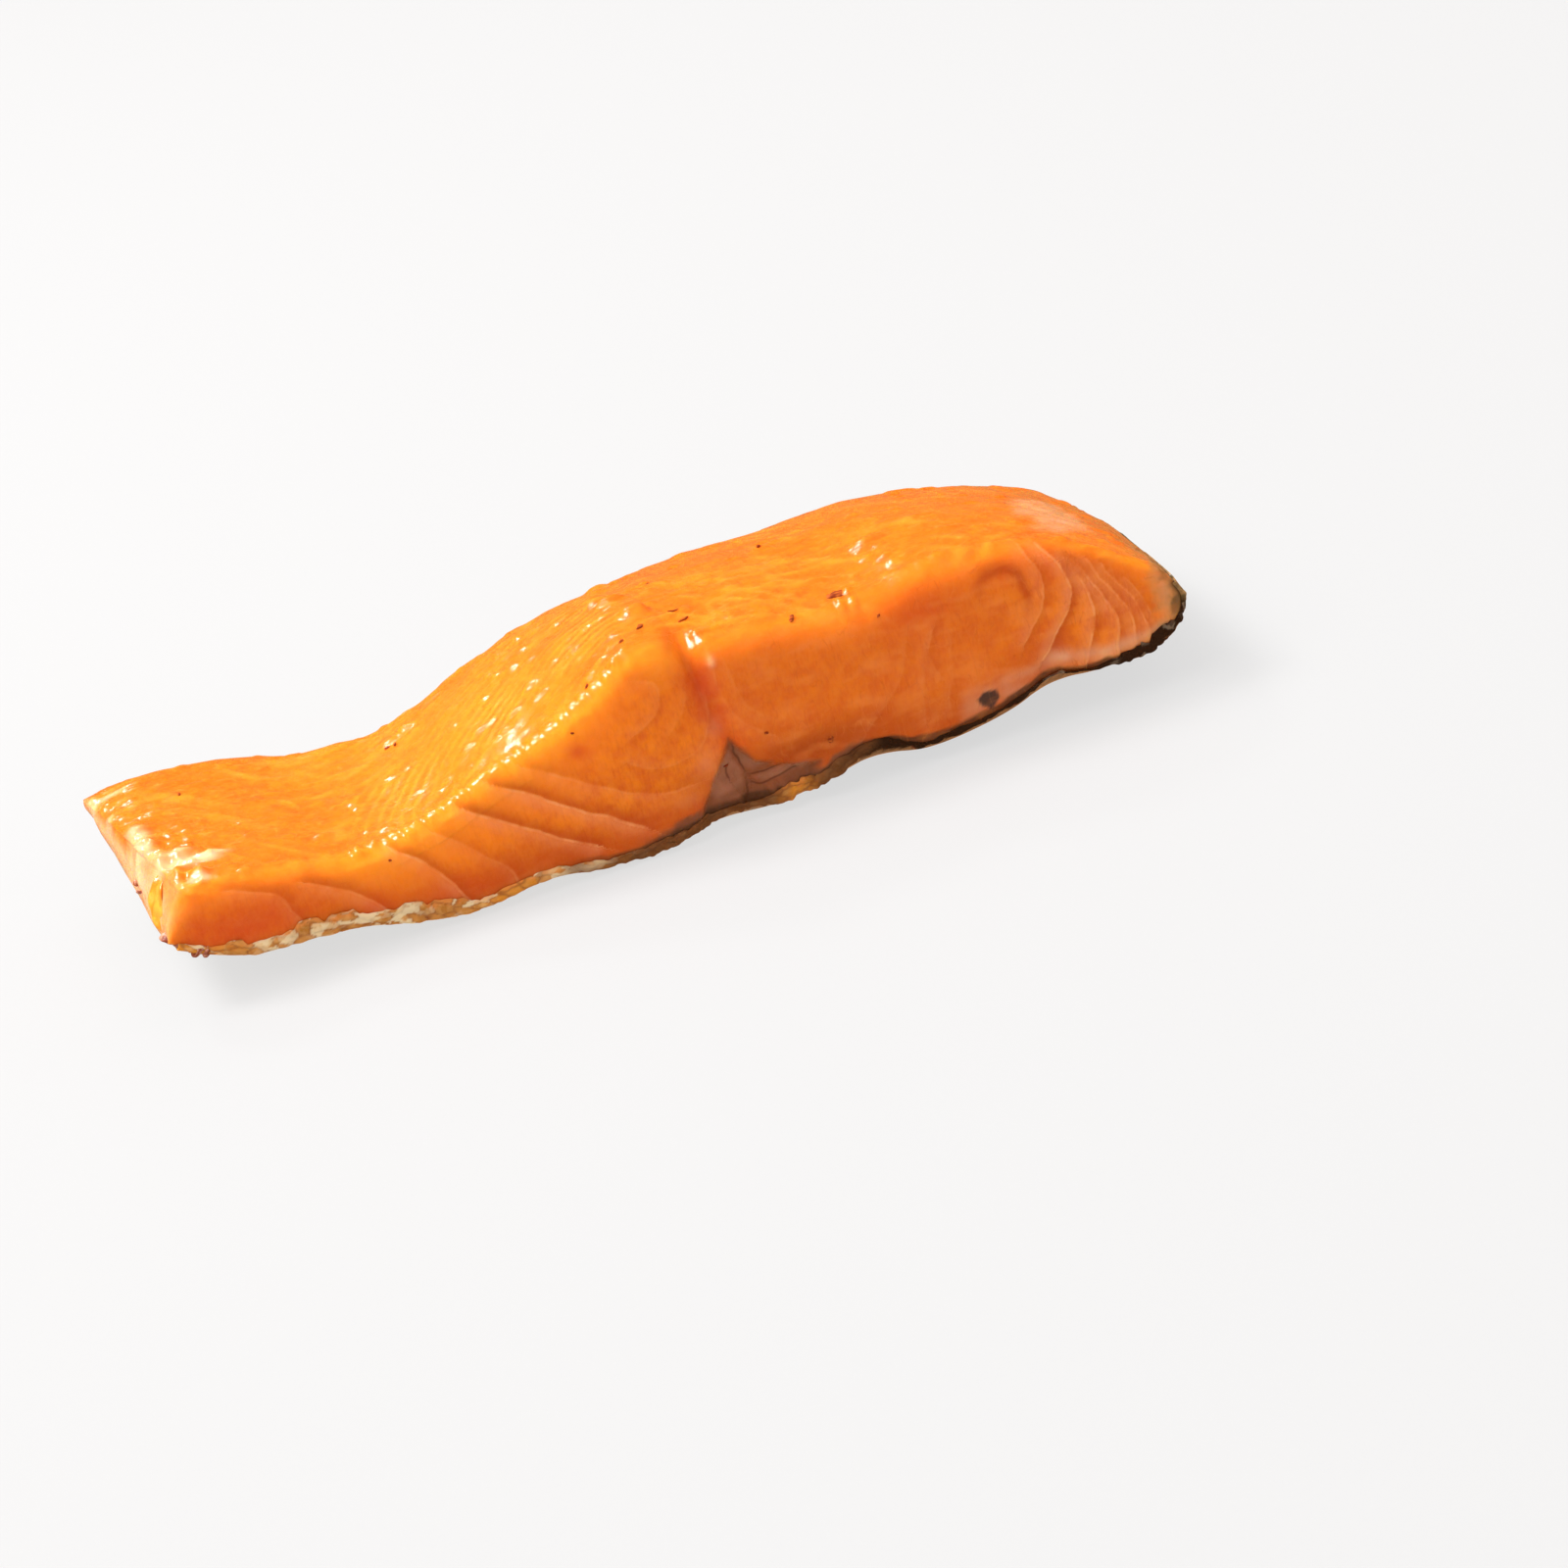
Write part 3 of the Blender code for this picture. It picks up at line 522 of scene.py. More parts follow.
def cut_face_relief(x, z):
    """How far the cut face stands out at x and height z."""
    off_seam = x - curve(np.array(SEAM_ON_FACE)[::-1], z)
    depth = SEAM_DEPTH_LOW + SEAM_DEPTH * sets_in(z, SEAM_FADE[0], SEAM_FADE[1] - SEAM_FADE[0])
    out = -depth * bell(off_seam, 0, SEAM_WIDTH)
    crack_depth, crack_width = SEAM_CRACK
    off_crack = off_seam + 0.3 * lumps(x, 0, z, 2.0, 78)
    out -= crack_depth * bell(off_crack, 0, crack_width) * sets_in(z, 12, 4)
    out -= DARK_DEPTH * inside(DARK_MUSCLE, x, z, 1.6)
    for at_x, at_z, reach_x, reach_z, height in FACE_SWELLS:
        out += height * bell(x, at_x, reach_x) * bell(z, at_z, reach_z)
    for points in CREASES:
        out -= CREASE_DEPTH * bell(from_line(points, x, z), 0, CREASE_WIDTH)
    for pale, points in SEPTA:
        off = from_line(points, x, z)
        out -= FLAKE_GROOVE * (0.3 + 0.5 * pale) * bell(off, 0.5, FLAKE_WIDTH)
        out -= FLAKE_STEP * pale * np.tanh(off / 0.5) * bell(off, 0, FLAKE_STEP_REACH)
    ring, shown = swirl_ring(x, z)
    out -= FLAKE_GROOVE * shown * bell(ring, 1, 0.3)
    return out


def nearest_line(lines, x, z):
    """Signed distance to the nearest of some lines, its number, and how near the next one is."""
    gap, number = np.full(np.shape(x), 9.0), np.zeros(np.shape(x), int)
    second = np.full(np.shape(x), 9.0)
    for n, points in enumerate(lines):
        off = from_line(points, x, z)
        nearer = np.abs(off) < np.abs(gap)
        second = np.minimum(second, np.where(nearer, np.abs(gap), np.abs(off)))
        gap, number = np.where(nearer, off, gap), np.where(nearer, n, number)
    return gap, number, second


def skin_reach(v):
    """How far up the back end the skin comes, as a share of its height."""
    fall = 0.10 * smooth(v) + 0.16 * sets_in(v, 0.88, 0.12)
    return SKIN_NOSE_REACH - fall + SKIN_NOSE_WAVE * np.sin(v * 9.0)


def flesh_base(shares):
    """Positions of the flesh before its fine relief, and where each vertex looks."""
    u, front, middle, rear, w = shares.T
    radius = edge_round(BELLY_END_TOP[0] + u * (BACK_END - BELLY_END_TOP[0]), w)
    front_turn, rear_turn = front * math.pi / 2, rear * math.pi / 2
    y = -WIDTH / 2 + radius * (1 - np.cos(front_turn)) + middle * (WIDTH - 2 * radius)
    y = y + radius * np.cos(rear_turn)
    v = y / WIDTH + 0.5
    x, z = place(u, v, w, 1 - np.minimum(np.sin(front_turn), np.sin(rear_turn)), FLESH_GROW)
    near_front = CORNER_DEPTH * (1 - smooth(v / CORNER_REACH))
    near_rear = CORNER_DEPTH * (1 - smooth((1 - v) / CORNER_REACH))
    rear_shift = SEAM_TOP_X - seam_x(1.0)
    at_rear = v > 0.5
    face_x = np.where(at_rear, x + rear_shift, x)
    face_z = np.where(at_rear, z * curve(FRONT_TOP, x + rear_shift) / curve(REAR_TOP, x), z)
    facing = np.where(at_rear, np.maximum(np.cos(rear_turn), near_rear),
                      np.maximum(np.cos(front_turn), near_front))
    relief = cut_face_relief(face_x, face_z) * facing
    y = np.where(at_rear, y + relief, y - relief)
    # u, v, w are shares of length, width and height, and face_x, face_z the place on the front cut
    # that a point repeats. cut and top are 1 on a cut face and on the top. rise and drop are the
    # height over the skin and the depth below the top, and to_back, to_belly how far each end is.
    seen = {"x": x, "y": y, "z": z, "u": u, "v": v, "w": w, "face_x": face_x, "face_z": face_z,
            "cut": np.where(at_rear, np.cos(rear_turn), np.cos(front_turn)),
            "top": (w > 0.999) * np.minimum(np.sin(front_turn), np.sin(rear_turn)),
            "rise": face_z - foot_height(face_x, v) - SKIN_THICK - SKIN_GAP,
            "drop": curve(FRONT_TOP, face_x) - face_z,
            "to_back": end_positions(v, w)[1] - x, "to_belly": x - end_positions(v, w)[0]}
    return np.stack([x, y, z], 1), seen


# --- Fine relief of the flesh ---------------------------------------------------------------------
def rib_phase(x, y):
    """0 to 1 across each rib of the slope, and how strongly the ribs show there."""
    radius = np.hypot(x - RIB_CENTRE[0], y - RIB_CENTRE[1])
    turn = (radius + 0.9 * lumps(x, y, 0, 7, 31)) / RIB_STEP
    strength = smooth(0.45 + 1.1 * lumps(x, y, 0, (8, 11, 1), 32))
    on_slope = sets_in(x, -50, 12) * fades(x, -4, 10)
    return turn % 1.0, strength * on_slope


def streaks(x, y, z):
    """Fibre bundles of the belly and of the back, -1 to 1."""
    along, across = along_turn(x, y, 0.15 + 0.45 * sets_in(x, -76, 30))
    belly = lumps(along / STREAK_LONG, across / STREAK_WIDE, z / 9, 1, 5)
    back = lumps((x - 0.7 * y) / STREAK_LONG, (y + 0.7 * x) / STREAK_WIDE, z / 9, 1, 7)
    on_back = sets_in(x, 2, 10)
    return belly * (1 - on_back) + back * on_back


def raised_lines(x, y):
    """Thin raised lines between the muscle bands of the top, 0 to 1."""
    turn = 0.15 + 0.5 * sets_in(x, -76, 30) - 0.75 * sets_in(x, 2, 12)
    along, across = along_turn(x, y, turn)
    field = lumps(along / 15 + 0.4 * lumps(x, y, 0, 6, 81), across / 4.2, 0, 1, 82)
    return bell(field, 0, 0.07) * smooth(0.1 + 1.3 * lumps(x, y, 0, 7, 83))


def crinkle(x, y, z):
    """Sharp small folds where the wet surface dried and shrank, 0 to 1."""
    wide = 1 - np.abs(lumps(x, y, z, (2.6, 2.0, 2.6), 85))
    fine = 1 - np.abs(lumps(x, y, z, (1.3, 1.0, 1.3), 86))
    return 0.65 * wide ** 2 + 0.35 * fine ** 2


def creases(x, y, seed):
    """Thin sunken wrinkles between smooth low folds, 0 to -1."""
    fold = lumps(x / 13.0 + 0.3 * lumps(x, y, 0, 5, seed), (y - 0.2 * x) / 3.4, 0, 1, seed + 1)
    return -bell(fold, 0, 0.09) * smooth(0.2 + lumps(x, y, 0, 9, seed + 2))


def shrunk(seen):
    """Where the thin belly end shrank as it dried, 0 to 1."""
    towards_front = fades(seen["y"], -4, 12)
    near_end = 1 - smooth((seen["to_belly"] - 2.0) / (7.0 + 5.0 * towards_front))
    return near_end * (0.25 + 0.55 * towards_front)


def top_relief(seen):
    """Height of the wet upper skinless side over its smooth form."""
    x, y, z = seen["x"], seen["y"], seen["z"]
    phase, ribbed = rib_phase(x, y)
    out = RIB_HEIGHT * ribbed * (bell(phase, 0.5, 0.13) - 0.25)
    out += FOLD_HEIGHT * (lumps(x, y, z, FOLD_WIDE, 11) + 0.4 * lumps(x, y, z, 2.6, 12))
    out += STREAK_HEIGHT * streaks(x, y, z) * (1 - 0.6 * ribbed)
    out += WRINKLE_HEIGHT * (creases(x, y, 14) + 1.3 * raised_lines(x, y))
    out += PUCKER_HEIGHT * smooth(1.9 * lumps(x, y, z, (2.9, 1.4, 1.8), 88) - 0.55)
    out += SHRUNK_HEIGHT * (crinkle(x, y, z) - 0.5) * shrunk(seen)
    out += REAR_EDGE_WAVE * bell(y, WIDTH / 2 - 1, 4) * lumps(x, 0, 0, 6.5, 19)
    for at_x, at_y, reach_x, reach_y, height in TOP_BUMPS:
        far = ((x - at_x) / reach_x) ** 2 + ((y - at_y) / reach_y) ** 2
        out += height * np.exp(-far ** 1.5)
    return out


def notch_bead(seen):
    """The glossy bead on the cut face under the notch, 0 to 1."""
    at_x, at_z, reach_x, reach_z = NOTCH_BEAD
    return bell(seen["x"], at_x, reach_x) * bell(seen["z"], at_z, reach_z) * (seen["y"] < 0)


def fine_relief(seen):
    """Height in millimetres that is added along the surface's own direction."""
    x, y, z, cut = seen["x"], seen["y"], seen["z"], seen["cut"]
    near_top = np.clip(seen["top"] + cut * np.exp(-np.maximum(seen["drop"], 0) / 1.6), 0, 1)
    near_top = near_top * (seen["w"] > 0.5)
    out = near_top * top_relief(seen)
    front_edge = bell(y, 1.6 - WIDTH / 2, 1.7) * (seen["w"] > 0.9)
    for at_x, reach, height in EDGE_PILLOWS:
        across = x - at_x + 0.35 * (y + WIDTH / 2 - 1.6)
        out += height * np.exp(-np.abs(across / reach) ** 3) * front_edge
    fibres = CUT_FIBRE * lumps(x, y, z, (0.7, 2, 1.6), 22)
    out += cut * (CUT_SWELL * lumps(x, y, z, 5.0, 21) + fibres)
    out += BEAD_HEIGHT * notch_bead(seen)
    on_end = (1 - smooth(seen["to_belly"] / 3)) * (1 - cut)
    out += on_end * END_SWELL * lumps(x, y, z, 3.4, 25)
    in_dark = inside(DARK_MUSCLE, seen["face_x"], seen["face_z"], 1.6) * cut
    out += in_dark * DARK_LUMPS * lumps(x + 0.4 * z, 0, z, (1.0, 1, 2.2), 27)
    return out


# --- Where each colour of the flesh shows ---------------------------------------------------------
def soft_spots(places, a, b):
    """The strongest of some soft spots at each point: their places, reaches and strengths."""
    shown = np.zeros(len(a))
    for at_a, at_b, reach_a, reach_b, strength in places:
        shown = np.maximum(shown, strength * bell(a, at_a, reach_a) * bell(b, at_b, reach_b))
    return shown


def dark_muscle_marks(seen, fray):
    """The dark muscle over the skin, a low band beside it, and the membrane left on it."""
    fx, fz, rise, cut = seen["face_x"], seen["face_z"], seen["rise"], seen["cut"]
    dark = inside(DARK_MUSCLE, fx + fray, fz + 0.5 * fray, 2.2)
    low_band = 1 - smooth((rise - 1.2 - 0.9 * fray) / 1.3)
    low_band = low_band * sets_in(fx, -8, 8) * fades(fx, 27, 5)
    dark = np.maximum(dark, low_band) * cut
    # Painted gleams: they brighten the membrane's film and lighten the low part
    gleam = lumps(fx, 0, fz, (2.8, 1, 1.6), 75) + 0.5 * lumps(fx, 0, fz, (1.2, 1, 0.7), 76)
    film = [inside(outline, fx + 0.3 * fray, fz, 0.9) for outline in MEMBRANES]
    return {"dark_muscle": dark,
            "dark_low": dark * smooth(0.95 - 0.2 * rise - 0.4 * gleam),
            "mauve": np.max(film, axis=0) * cut * (0.75 + 0.35 * gleam)}


def flake_marks(seen, waver, plain):
    """Sheets between the flakes: painted light and paler film right of each line, painted shade
    left.
    """
    fx, fz, cut = seen["face_x"], seen["face_z"], seen["cut"]
    veil, shade = np.zeros(len(fx)), np.zeros(len(fx))
    for strength, points in SEPTA:
        off = from_line(points, fx, fz)
        # Painted light on the rim of the flake that rises right of the line
        veil = np.maximum(veil, strength * smooth(-off / 0.3) * bell(off, 0, 1.5))
        # Painted shade left of the line, where the flake falls
        shade = np.maximum(shade, strength * smooth(off / 0.3) * bell(off, 0, 1.7))
    # Painted shade along the muscle ring, strongest at its upper right
    ring, shown = swirl_ring(fx, fz)
    shade = np.maximum(shade, shown * bell(ring, 1.1, 0.22))
    # Paler parts under a film of membrane
    veil = np.maximum(veil, soft_spots(PINK_PARTS, fx, fz))
    return {"septum_lit_veil": veil * (0.3 + 0.7 * waver) * cut * plain,
            "septum_shade": shade * cut * plain,
            "cracked": cut * (0.4 + 0.6 * sets_in(fx, 12, 10)) * plain}


def face_marks(seen, fray, on_slope):
    """Broad tones of the cut face: painted glow through its top edge, painted shade low down."""
    fx, fz, rise, cut = seen["face_x"], seen["face_z"], seen["rise"], seen["cut"]
    below = np.maximum(seen["drop"], 0)
    on_back = sets_in(fx, 8, 4)
    glow_reach = 1.8 + 2.2 * on_slope - 0.7 * on_back + 2.2 * bell(fx, 3.5, 4.5)
    glow = bell(below, 0, glow_reach)
    # Painted shade: darker low on the cut face
    shade_low_down = fades(rise, 1.0, 8.5) * sets_in(fx, -66, 20) * fades(fx, 62, 8)
    off_groove = fx - curve(np.array(SEAM_ON_FACE)[::-1], fz) + 0.5 * fray
    groove = bell(off_groove, 0, 1.7) * sets_in(fz, 10, 4) * fades(fz, 26.5, 2)
    # Painted light: a narrow glow and a wider warm tone under the top edge
    tones = {"glow": np.maximum(glow, 0.8 * bell(seen["to_belly"], 0, 1.5)),
             "warm": bell(below, 0, 4.8 + 5.0 * on_slope - 0.6 * on_back),
             # Painted shade low down, and darkest low on the loin
             "shade_low_down": shade_low_down,
             "loin_shade": bell(fx, 20.0, 13.0) * bell(fz, 9.4, 3.4),
             "back_muscle": sets_in(fx, 9, 6) * fades(fx, 52, 14),
             "red": np.maximum(soft_spots(RED_PARTS, fx, fz), 0.8 * groove)}
    return {name: tone * cut for name, tone in tones.items()}


def top_marks(seen, waver, on_slope):
    """Tones of the wet top: ribs and streaks, golden slope, amber folds, yellow-brown stains."""
    x, y, z, cut = seen["x"], seen["y"], seen["z"], seen["cut"]
    phase, ribbed = rib_phase(x, y)
    up = seen["top"] * (seen["w"] > 0.5)
    # Painted highlights on the crests of the ribs, streaks and raised lines
    ribs = ribbed * bell(phase, 0.5, 0.2)
    pale = 0.6 * np.maximum(smooth(1.6 * streaks(x, y, z) - 0.2), raised_lines(x, y))
    # Golden slope and belly end, partly painted light where they face the lamp
    golden = on_slope * sets_in(seen["face_x"], -50, 22) * (0.8 + 0.2 * waver)
    amber = 0.45 + 0.55 * smooth(0.3 - 1.4 * lumps(x, y, 0, (9, 5, 1), 35))
    stains = soft_spots(STAINS, x, y)
    return {"crest_highlight": np.maximum(ribs, pale * (1 - ribbed)) * up,
            "golden": np.maximum(golden, 0.8 * (1 - smooth(seen["to_belly"] / 5))) * up,
            "amber_fold": amber * (1 - 0.85 * on_slope) * up,
            # Painted shade in the sunken wrinkles
            "wrinkle_shade": -creases(x, y, 14) * up,
            "stain": stains * (0.4 + 0.6 * waver) * (1 - cut)}


def rim_marks(seen, fray):
    """Fat and browned rim along the skin, tan and olive at the back end, and the chip of skin."""
    x, y, z, cut = seen["x"], seen["y"], seen["z"], seen["cut"]
    fx, fz = seen["face_x"], seen["face_z"]
    outline = np.minimum(seen["rise"], seen["to_back"])
    ragged = 0.5 * lumps(fx, y, fz, 1.6, 41)
    fat = np.maximum(0.9 * sets_in(fx, 56, 8) * bell(outline, 1.6, 1.2),
                     0.5 * inside(FAT_PART, fx, fz, 2.5))
    least = 0.7 - 0.4 * sets_in(fx, 36, 10) - 0.5 * bell(fx, 64, 6)
    brown = (1 - smooth((outline - least - 0.7 * ragged) / 0.6)) * sets_in(fx, -20, 14)
    rim = sets_in(z, 8, 5) * sets_in(x, 68, 5) * np.maximum(cut, fades(y, -15, 8))
    waver = lumps(x, y, z, 2.4, 42) + ragged + 0.4 * lumps(x, y, z, 0.8, 44)
    tan = rim * (1 - smooth((seen["to_back"] - 1.6 - 1.8 * waver) / 2.2))
    olive = rim * (1 - smooth((seen["to_back"] - 1.0 - 1.5 * waver) / 1.0))
    on_nose = fades(seen["to_back"], 0.6, 1.6) * (1 - cut)
    over_skin = seen["w"] - skin_reach(seen["v"])
    tan_nose = on_nose * (1 - smooth((over_skin - 0.06 * waver) / 0.2))
    olive_nose = 0.7 * on_nose * (1 - smooth((over_skin - 0.03 - 0.04 * waver) / 0.09))
    return {"fat": fat * cut * (0.7 + 0.6 * ragged),
            "brown_rim": brown * cut,
            "tan": np.maximum(tan, tan_nose),
            "olive": np.maximum(olive, olive_nose),
            "grey_spot": inside(SKIN_CHIP, fx + 0.5 * ragged, fz + 0.4 * fray, 0.5) * cut}


def dry_marks(seen):
    """The bare fibrous part of the top; the belly end's peach, partly painted light, and painted
    highlights.
    """
    x, y, z, off_cut = seen["x"], seen["y"], seen["z"], 1 - seen["cut"]
    fibres = 0.5 + 0.5 * lumps(x / 5, y / 0.9, z / 5, 1, 43)
    fray = lumps(x, y, z, (3.4, 2.2, 3.0), 46)
    bare = inside(BARE_PATCH, x + 2.4 * fray, y + 1.8 * fray, 3.5) * (0.4 + 0.6 * fibres)
    # The belly end's peach, partly painted light where it faces the lamp
    end_face = fades(seen["to_belly"], 0.6, 2.4) * (0.8 + 0.2 * fibres)
    below_top = smooth((18.4 - z + 0.03 * y) / 3) * (0.35 + 0.65 * sets_in(y, -19, 3))
    # Creamy painted highlights on the belly end's corner and lumps, over paler skin
    cream_highlight = 0.15 * fades(y, -17, 4) * fades(seen["to_belly"], 0.3, 2.5)
    for at_x, at_y, reach_x, reach_y, strength in CREAM_HIGHLIGHTS:
        near = bell(x, at_x, reach_x) * bell(y, at_y, reach_y)
        cream_highlight = np.maximum(cream_highlight, strength * smooth(1.7 * near))
    streaky = 0.5 + 0.7 * lumps(x / 2.6, y / 0.9, z / 5, 1, 45)
    return {"bare": bare * off_cut * (seen["w"] > 0.5),
            "peach": end_face * below_top * off_cut,
            # Creamy painted highlights also on the bead under the notch
            "cream_highlight": np.maximum(cream_highlight * off_cut * (0.45 + 0.75 * streaky), 0.5 * notch_bead(seen))}


def thin_lines(seen, waver, plain):
    """Distances to the pale sheets and to the creases, and how plainly each of them shows."""
    fx, fz, cut = seen["face_x"], seen["face_z"], seen["cut"]
    gap, number, second = nearest_line([points for _, points in SEPTA], fx, fz)
    pale = np.array([pale for pale, _ in SEPTA])[number] * (0.4 + 0.6 * waver) * plain
    crease, _, next_crease = nearest_line(CREASES, fx, fz)
    return {"sheet_gap": np.where(cut > 0.3, gap, 9.0),
            "sheet_pale": pale * smooth((second - np.abs(gap) - 0.6) / 0.6),
            "crease_gap": np.where(cut > 0.3, crease, 9.0),
            "crease_shown": smooth((next_crease - np.abs(crease) - 0.3) / 0.4)}


def flesh_marks(seen):
    """How strongly each colour of the flesh shows, 0 to 1, by name, and distances to thin lines."""
    fx, fz = seen["face_x"], seen["face_z"]
    waver = 0.5 + 0.5 * lumps(fx, seen["y"], fz, 2.2, 31)
    fray = 0.8 * lumps(fx, 0, fz, 1.6, 74) + 0.4 * lumps(fx, 0, fz, 0.8, 77)
    on_slope = sets_in(fx, -56, 12) * fades(fx, -14, 16)
    marks = dark_muscle_marks(seen, fray)
    plain = 1 - marks["dark_muscle"]
    marks.update(flake_marks(seen, waver, plain), cut_face=seen["cut"])
    marks.update(face_marks(seen, fray, on_slope))
    marks.update(top_marks(seen, waver, on_slope))
    marks.update(rim_marks(seen, fray))
    marks.update(dry_marks(seen))
    marks = {name: np.clip(values, 0, 1) for name, values in marks.items()}
    return {**marks, **thin_lines(seen, waver, plain)}


# --- Objects, nodes and patterns ------------------------------------------------------------------
def add_object(name, data):
    """Put a mesh, light or camera into the scene, at the origin."""
    thing = bpy.data.objects.new(name, data)
    bpy.context.scene.collection.objects.link(thing)
    return thing


def new_piece(name, points, faces, material, marks=None):
    """A mesh of points in millimetres at the origin, with its marks as attributes."""
    mesh = bpy.data.meshes.new(name)
    mesh.from_pydata((np.asarray(points) * MM).tolist(), [], faces)
    for mark, values in (marks or {}).items():
        layer = mesh.attributes.new(mark, "FLOAT", "POINT")
        layer.data.foreach_set("value", values.astype(np.float32))
    mesh.materials.append(material)
    mesh.shade_smooth()
    return add_object(name, mesh)


def push_out(mesh, heights):
    """Move each vertex along its normal by a height in millimetres."""
    count = len(mesh.vertices)
    places, normals = np.empty(count * 3), np.empty(count * 3)
    mesh.vertices.foreach_get("co", places)
    mesh.vertex_normals.foreach_get("vector", normals)
    moved = places.reshape(-1, 3) + normals.reshape(-1, 3) * heights[:, None] * MM
    mesh.vertices.foreach_set("co", moved.ravel())
    mesh.update()


def linear(hex_colour):
    """sRGB hex to the linear colour that shaders take."""
    parts = [int(hex_colour[i:i + 2], 16) / 255 for i in (1, 3, 5)]
    red, green, blue = (p / 12.92 if p <= 0.04045 else ((p + 0.055) / 1.055) ** 2.4 for p in parts)
    return red, green, blue, 1.0


def set_inputs(tree, node, inputs):
    """Give a node's inputs their values, or link sockets to them, by name or number."""
    for name, value in inputs.items():
        if isinstance(value, bpy.types.NodeSocket):
            tree.links.new(value, node.inputs[name])
        else:
            node.inputs[name].default_value = value


def add_node(tree, kind, inputs=None, **settings):
    """Add a node with its settings and inputs."""
    node = tree.nodes.new(kind)
    for name, value in settings.items():
        setattr(node, name, value)
    set_inputs(tree, node, inputs or {})
    return node


def pattern(tree, size, stretch=(1, 1, 1), detail=3.0, roughness=0.55, span=None, values=(0, 1)):
    """Spots size millimetres apart over the piece, stretched along the axes; a span of their tones
    is spread to values.
    """
    place_on = add_node(tree, "ShaderNodeTexCoord")
    spread = add_node(tree, "ShaderNodeMapping", {"Vector": place_on.outputs["Object"],
                                                  "Scale": [1 / s for s in stretch]})
    noise = add_node(tree, "ShaderNodeTexNoise", {
        "Vector": spread.outputs[0], "Scale": 1 / (size * MM), "Detail": detail,
        "Roughness": roughness}).outputs["Fac"]
    if span is None:
        return noise
    return add_node(tree, "ShaderNodeMapRange", {
        "Value": noise, "From Min": span[0], "From Max": span[1],
        "To Min": values[0], "To Max": values[1]}).outputs[0]


def where_all(tree, *parts):
    """Where several patterns and named marks all show: their product."""
    shown = None
    for part in parts:
        if isinstance(part, str):
            part = add_node(tree, "ShaderNodeAttribute", attribute_name=part).outputs["Fac"]
        if shown is not None:
            part = add_node(tree, "ShaderNodeMath", {0: shown, 1: part},
                            operation="MULTIPLY").outputs[0]
        shown = part
    return shown


def painted(tree, colour, layers):
    """Colours laid over a first one. A layer has the mark, pattern or several of them where it
    shows, its colour, the most of it, and the tones between which it sets in.
    """
    for shown, tone, most, *span in layers:
        masks = shown if isinstance(shown, tuple) else (shown,)
        start, full = span or (0.0, 1.0)
        amount = add_node(tree, "ShaderNodeMapRange", {
            "Value": where_all(tree, *masks), "From Min": start, "From Max": full,
            "To Max": most}).outputs[0]
        tone = linear(tone) if isinstance(tone, str) else tone
        mix = add_node(tree, "ShaderNodeMix", {0: amount, 6: colour, 7: tone}, data_type="RGBA")
        colour = mix.outputs[2]
    return colour


def new_material(name):
    """A material, its node tree and its surface shader."""
    material = bpy.data.materials.new(name)
    material.use_nodes = True
    return material, material.node_tree, material.node_tree.nodes["Principled BSDF"]


# Sizes of the patterns in millimetres
MOTTLE = 2.4                        # cloudy fat in the muscle
FIBRE_BUNDLE = 0.8                  # fibres are 0.1 mm, too fine to show, so bundles are drawn
OIL_RIPPLE = 0.35                   # ripples in the film of oil
WET_SWELL = 1.4                     # low swells of the wet surface
THREAD = 0.35                       # width of the cracks and threads between the fibres
SCALE_SIZE = 2.2                    # scales of a fish this size
DRY_WRINKLE = 1.6                   # wrinkles and stains of the dried skin
HERB_GRAIN = 0.5                    # real grain is finer; this much shows
PAPER_GRAIN = 1.0                   # real fibres are finer; this much shows


def line_on(tree, name, width):
    """A thin line where the distance kept in a mark is near 0, width millimetres wide."""
    gap = add_node(tree, "ShaderNodeAttribute", attribute_name=name).outputs["Fac"]
    far = add_node(tree, "ShaderNodeMath", {0: gap}, operation="ABSOLUTE").outputs[0]
    return add_node(tree, "ShaderNodeMapRange", {
        "Value": far, "From Min": 0.2 * width, "From Max": 0.6 * width,
        "To Min": 1.0, "To Max": 0.0}).outputs[0]


def veins(tree, size, stretch, width, gaps):
    """Thin wandering lines, 1 on them; they break off where a wider pattern is low."""
    off = add_node(tree, "ShaderNodeMath", {0: pattern(tree, size, stretch, detail=0.7), 1: 0.5},
                   operation="SUBTRACT").outputs[0]
    off = add_node(tree, "ShaderNodeMath", {0: off}, operation="ABSOLUTE").outputs[0]
    line = add_node(tree, "ShaderNodeMapRange", {
        "Value": off, "From Max": 0.11 * width / size, "To Min": 1.0, "To Max": 0.0}).outputs[0]
    return where_all(tree, line, pattern(tree, gaps, detail=1.0, span=(0.46, 0.6)))


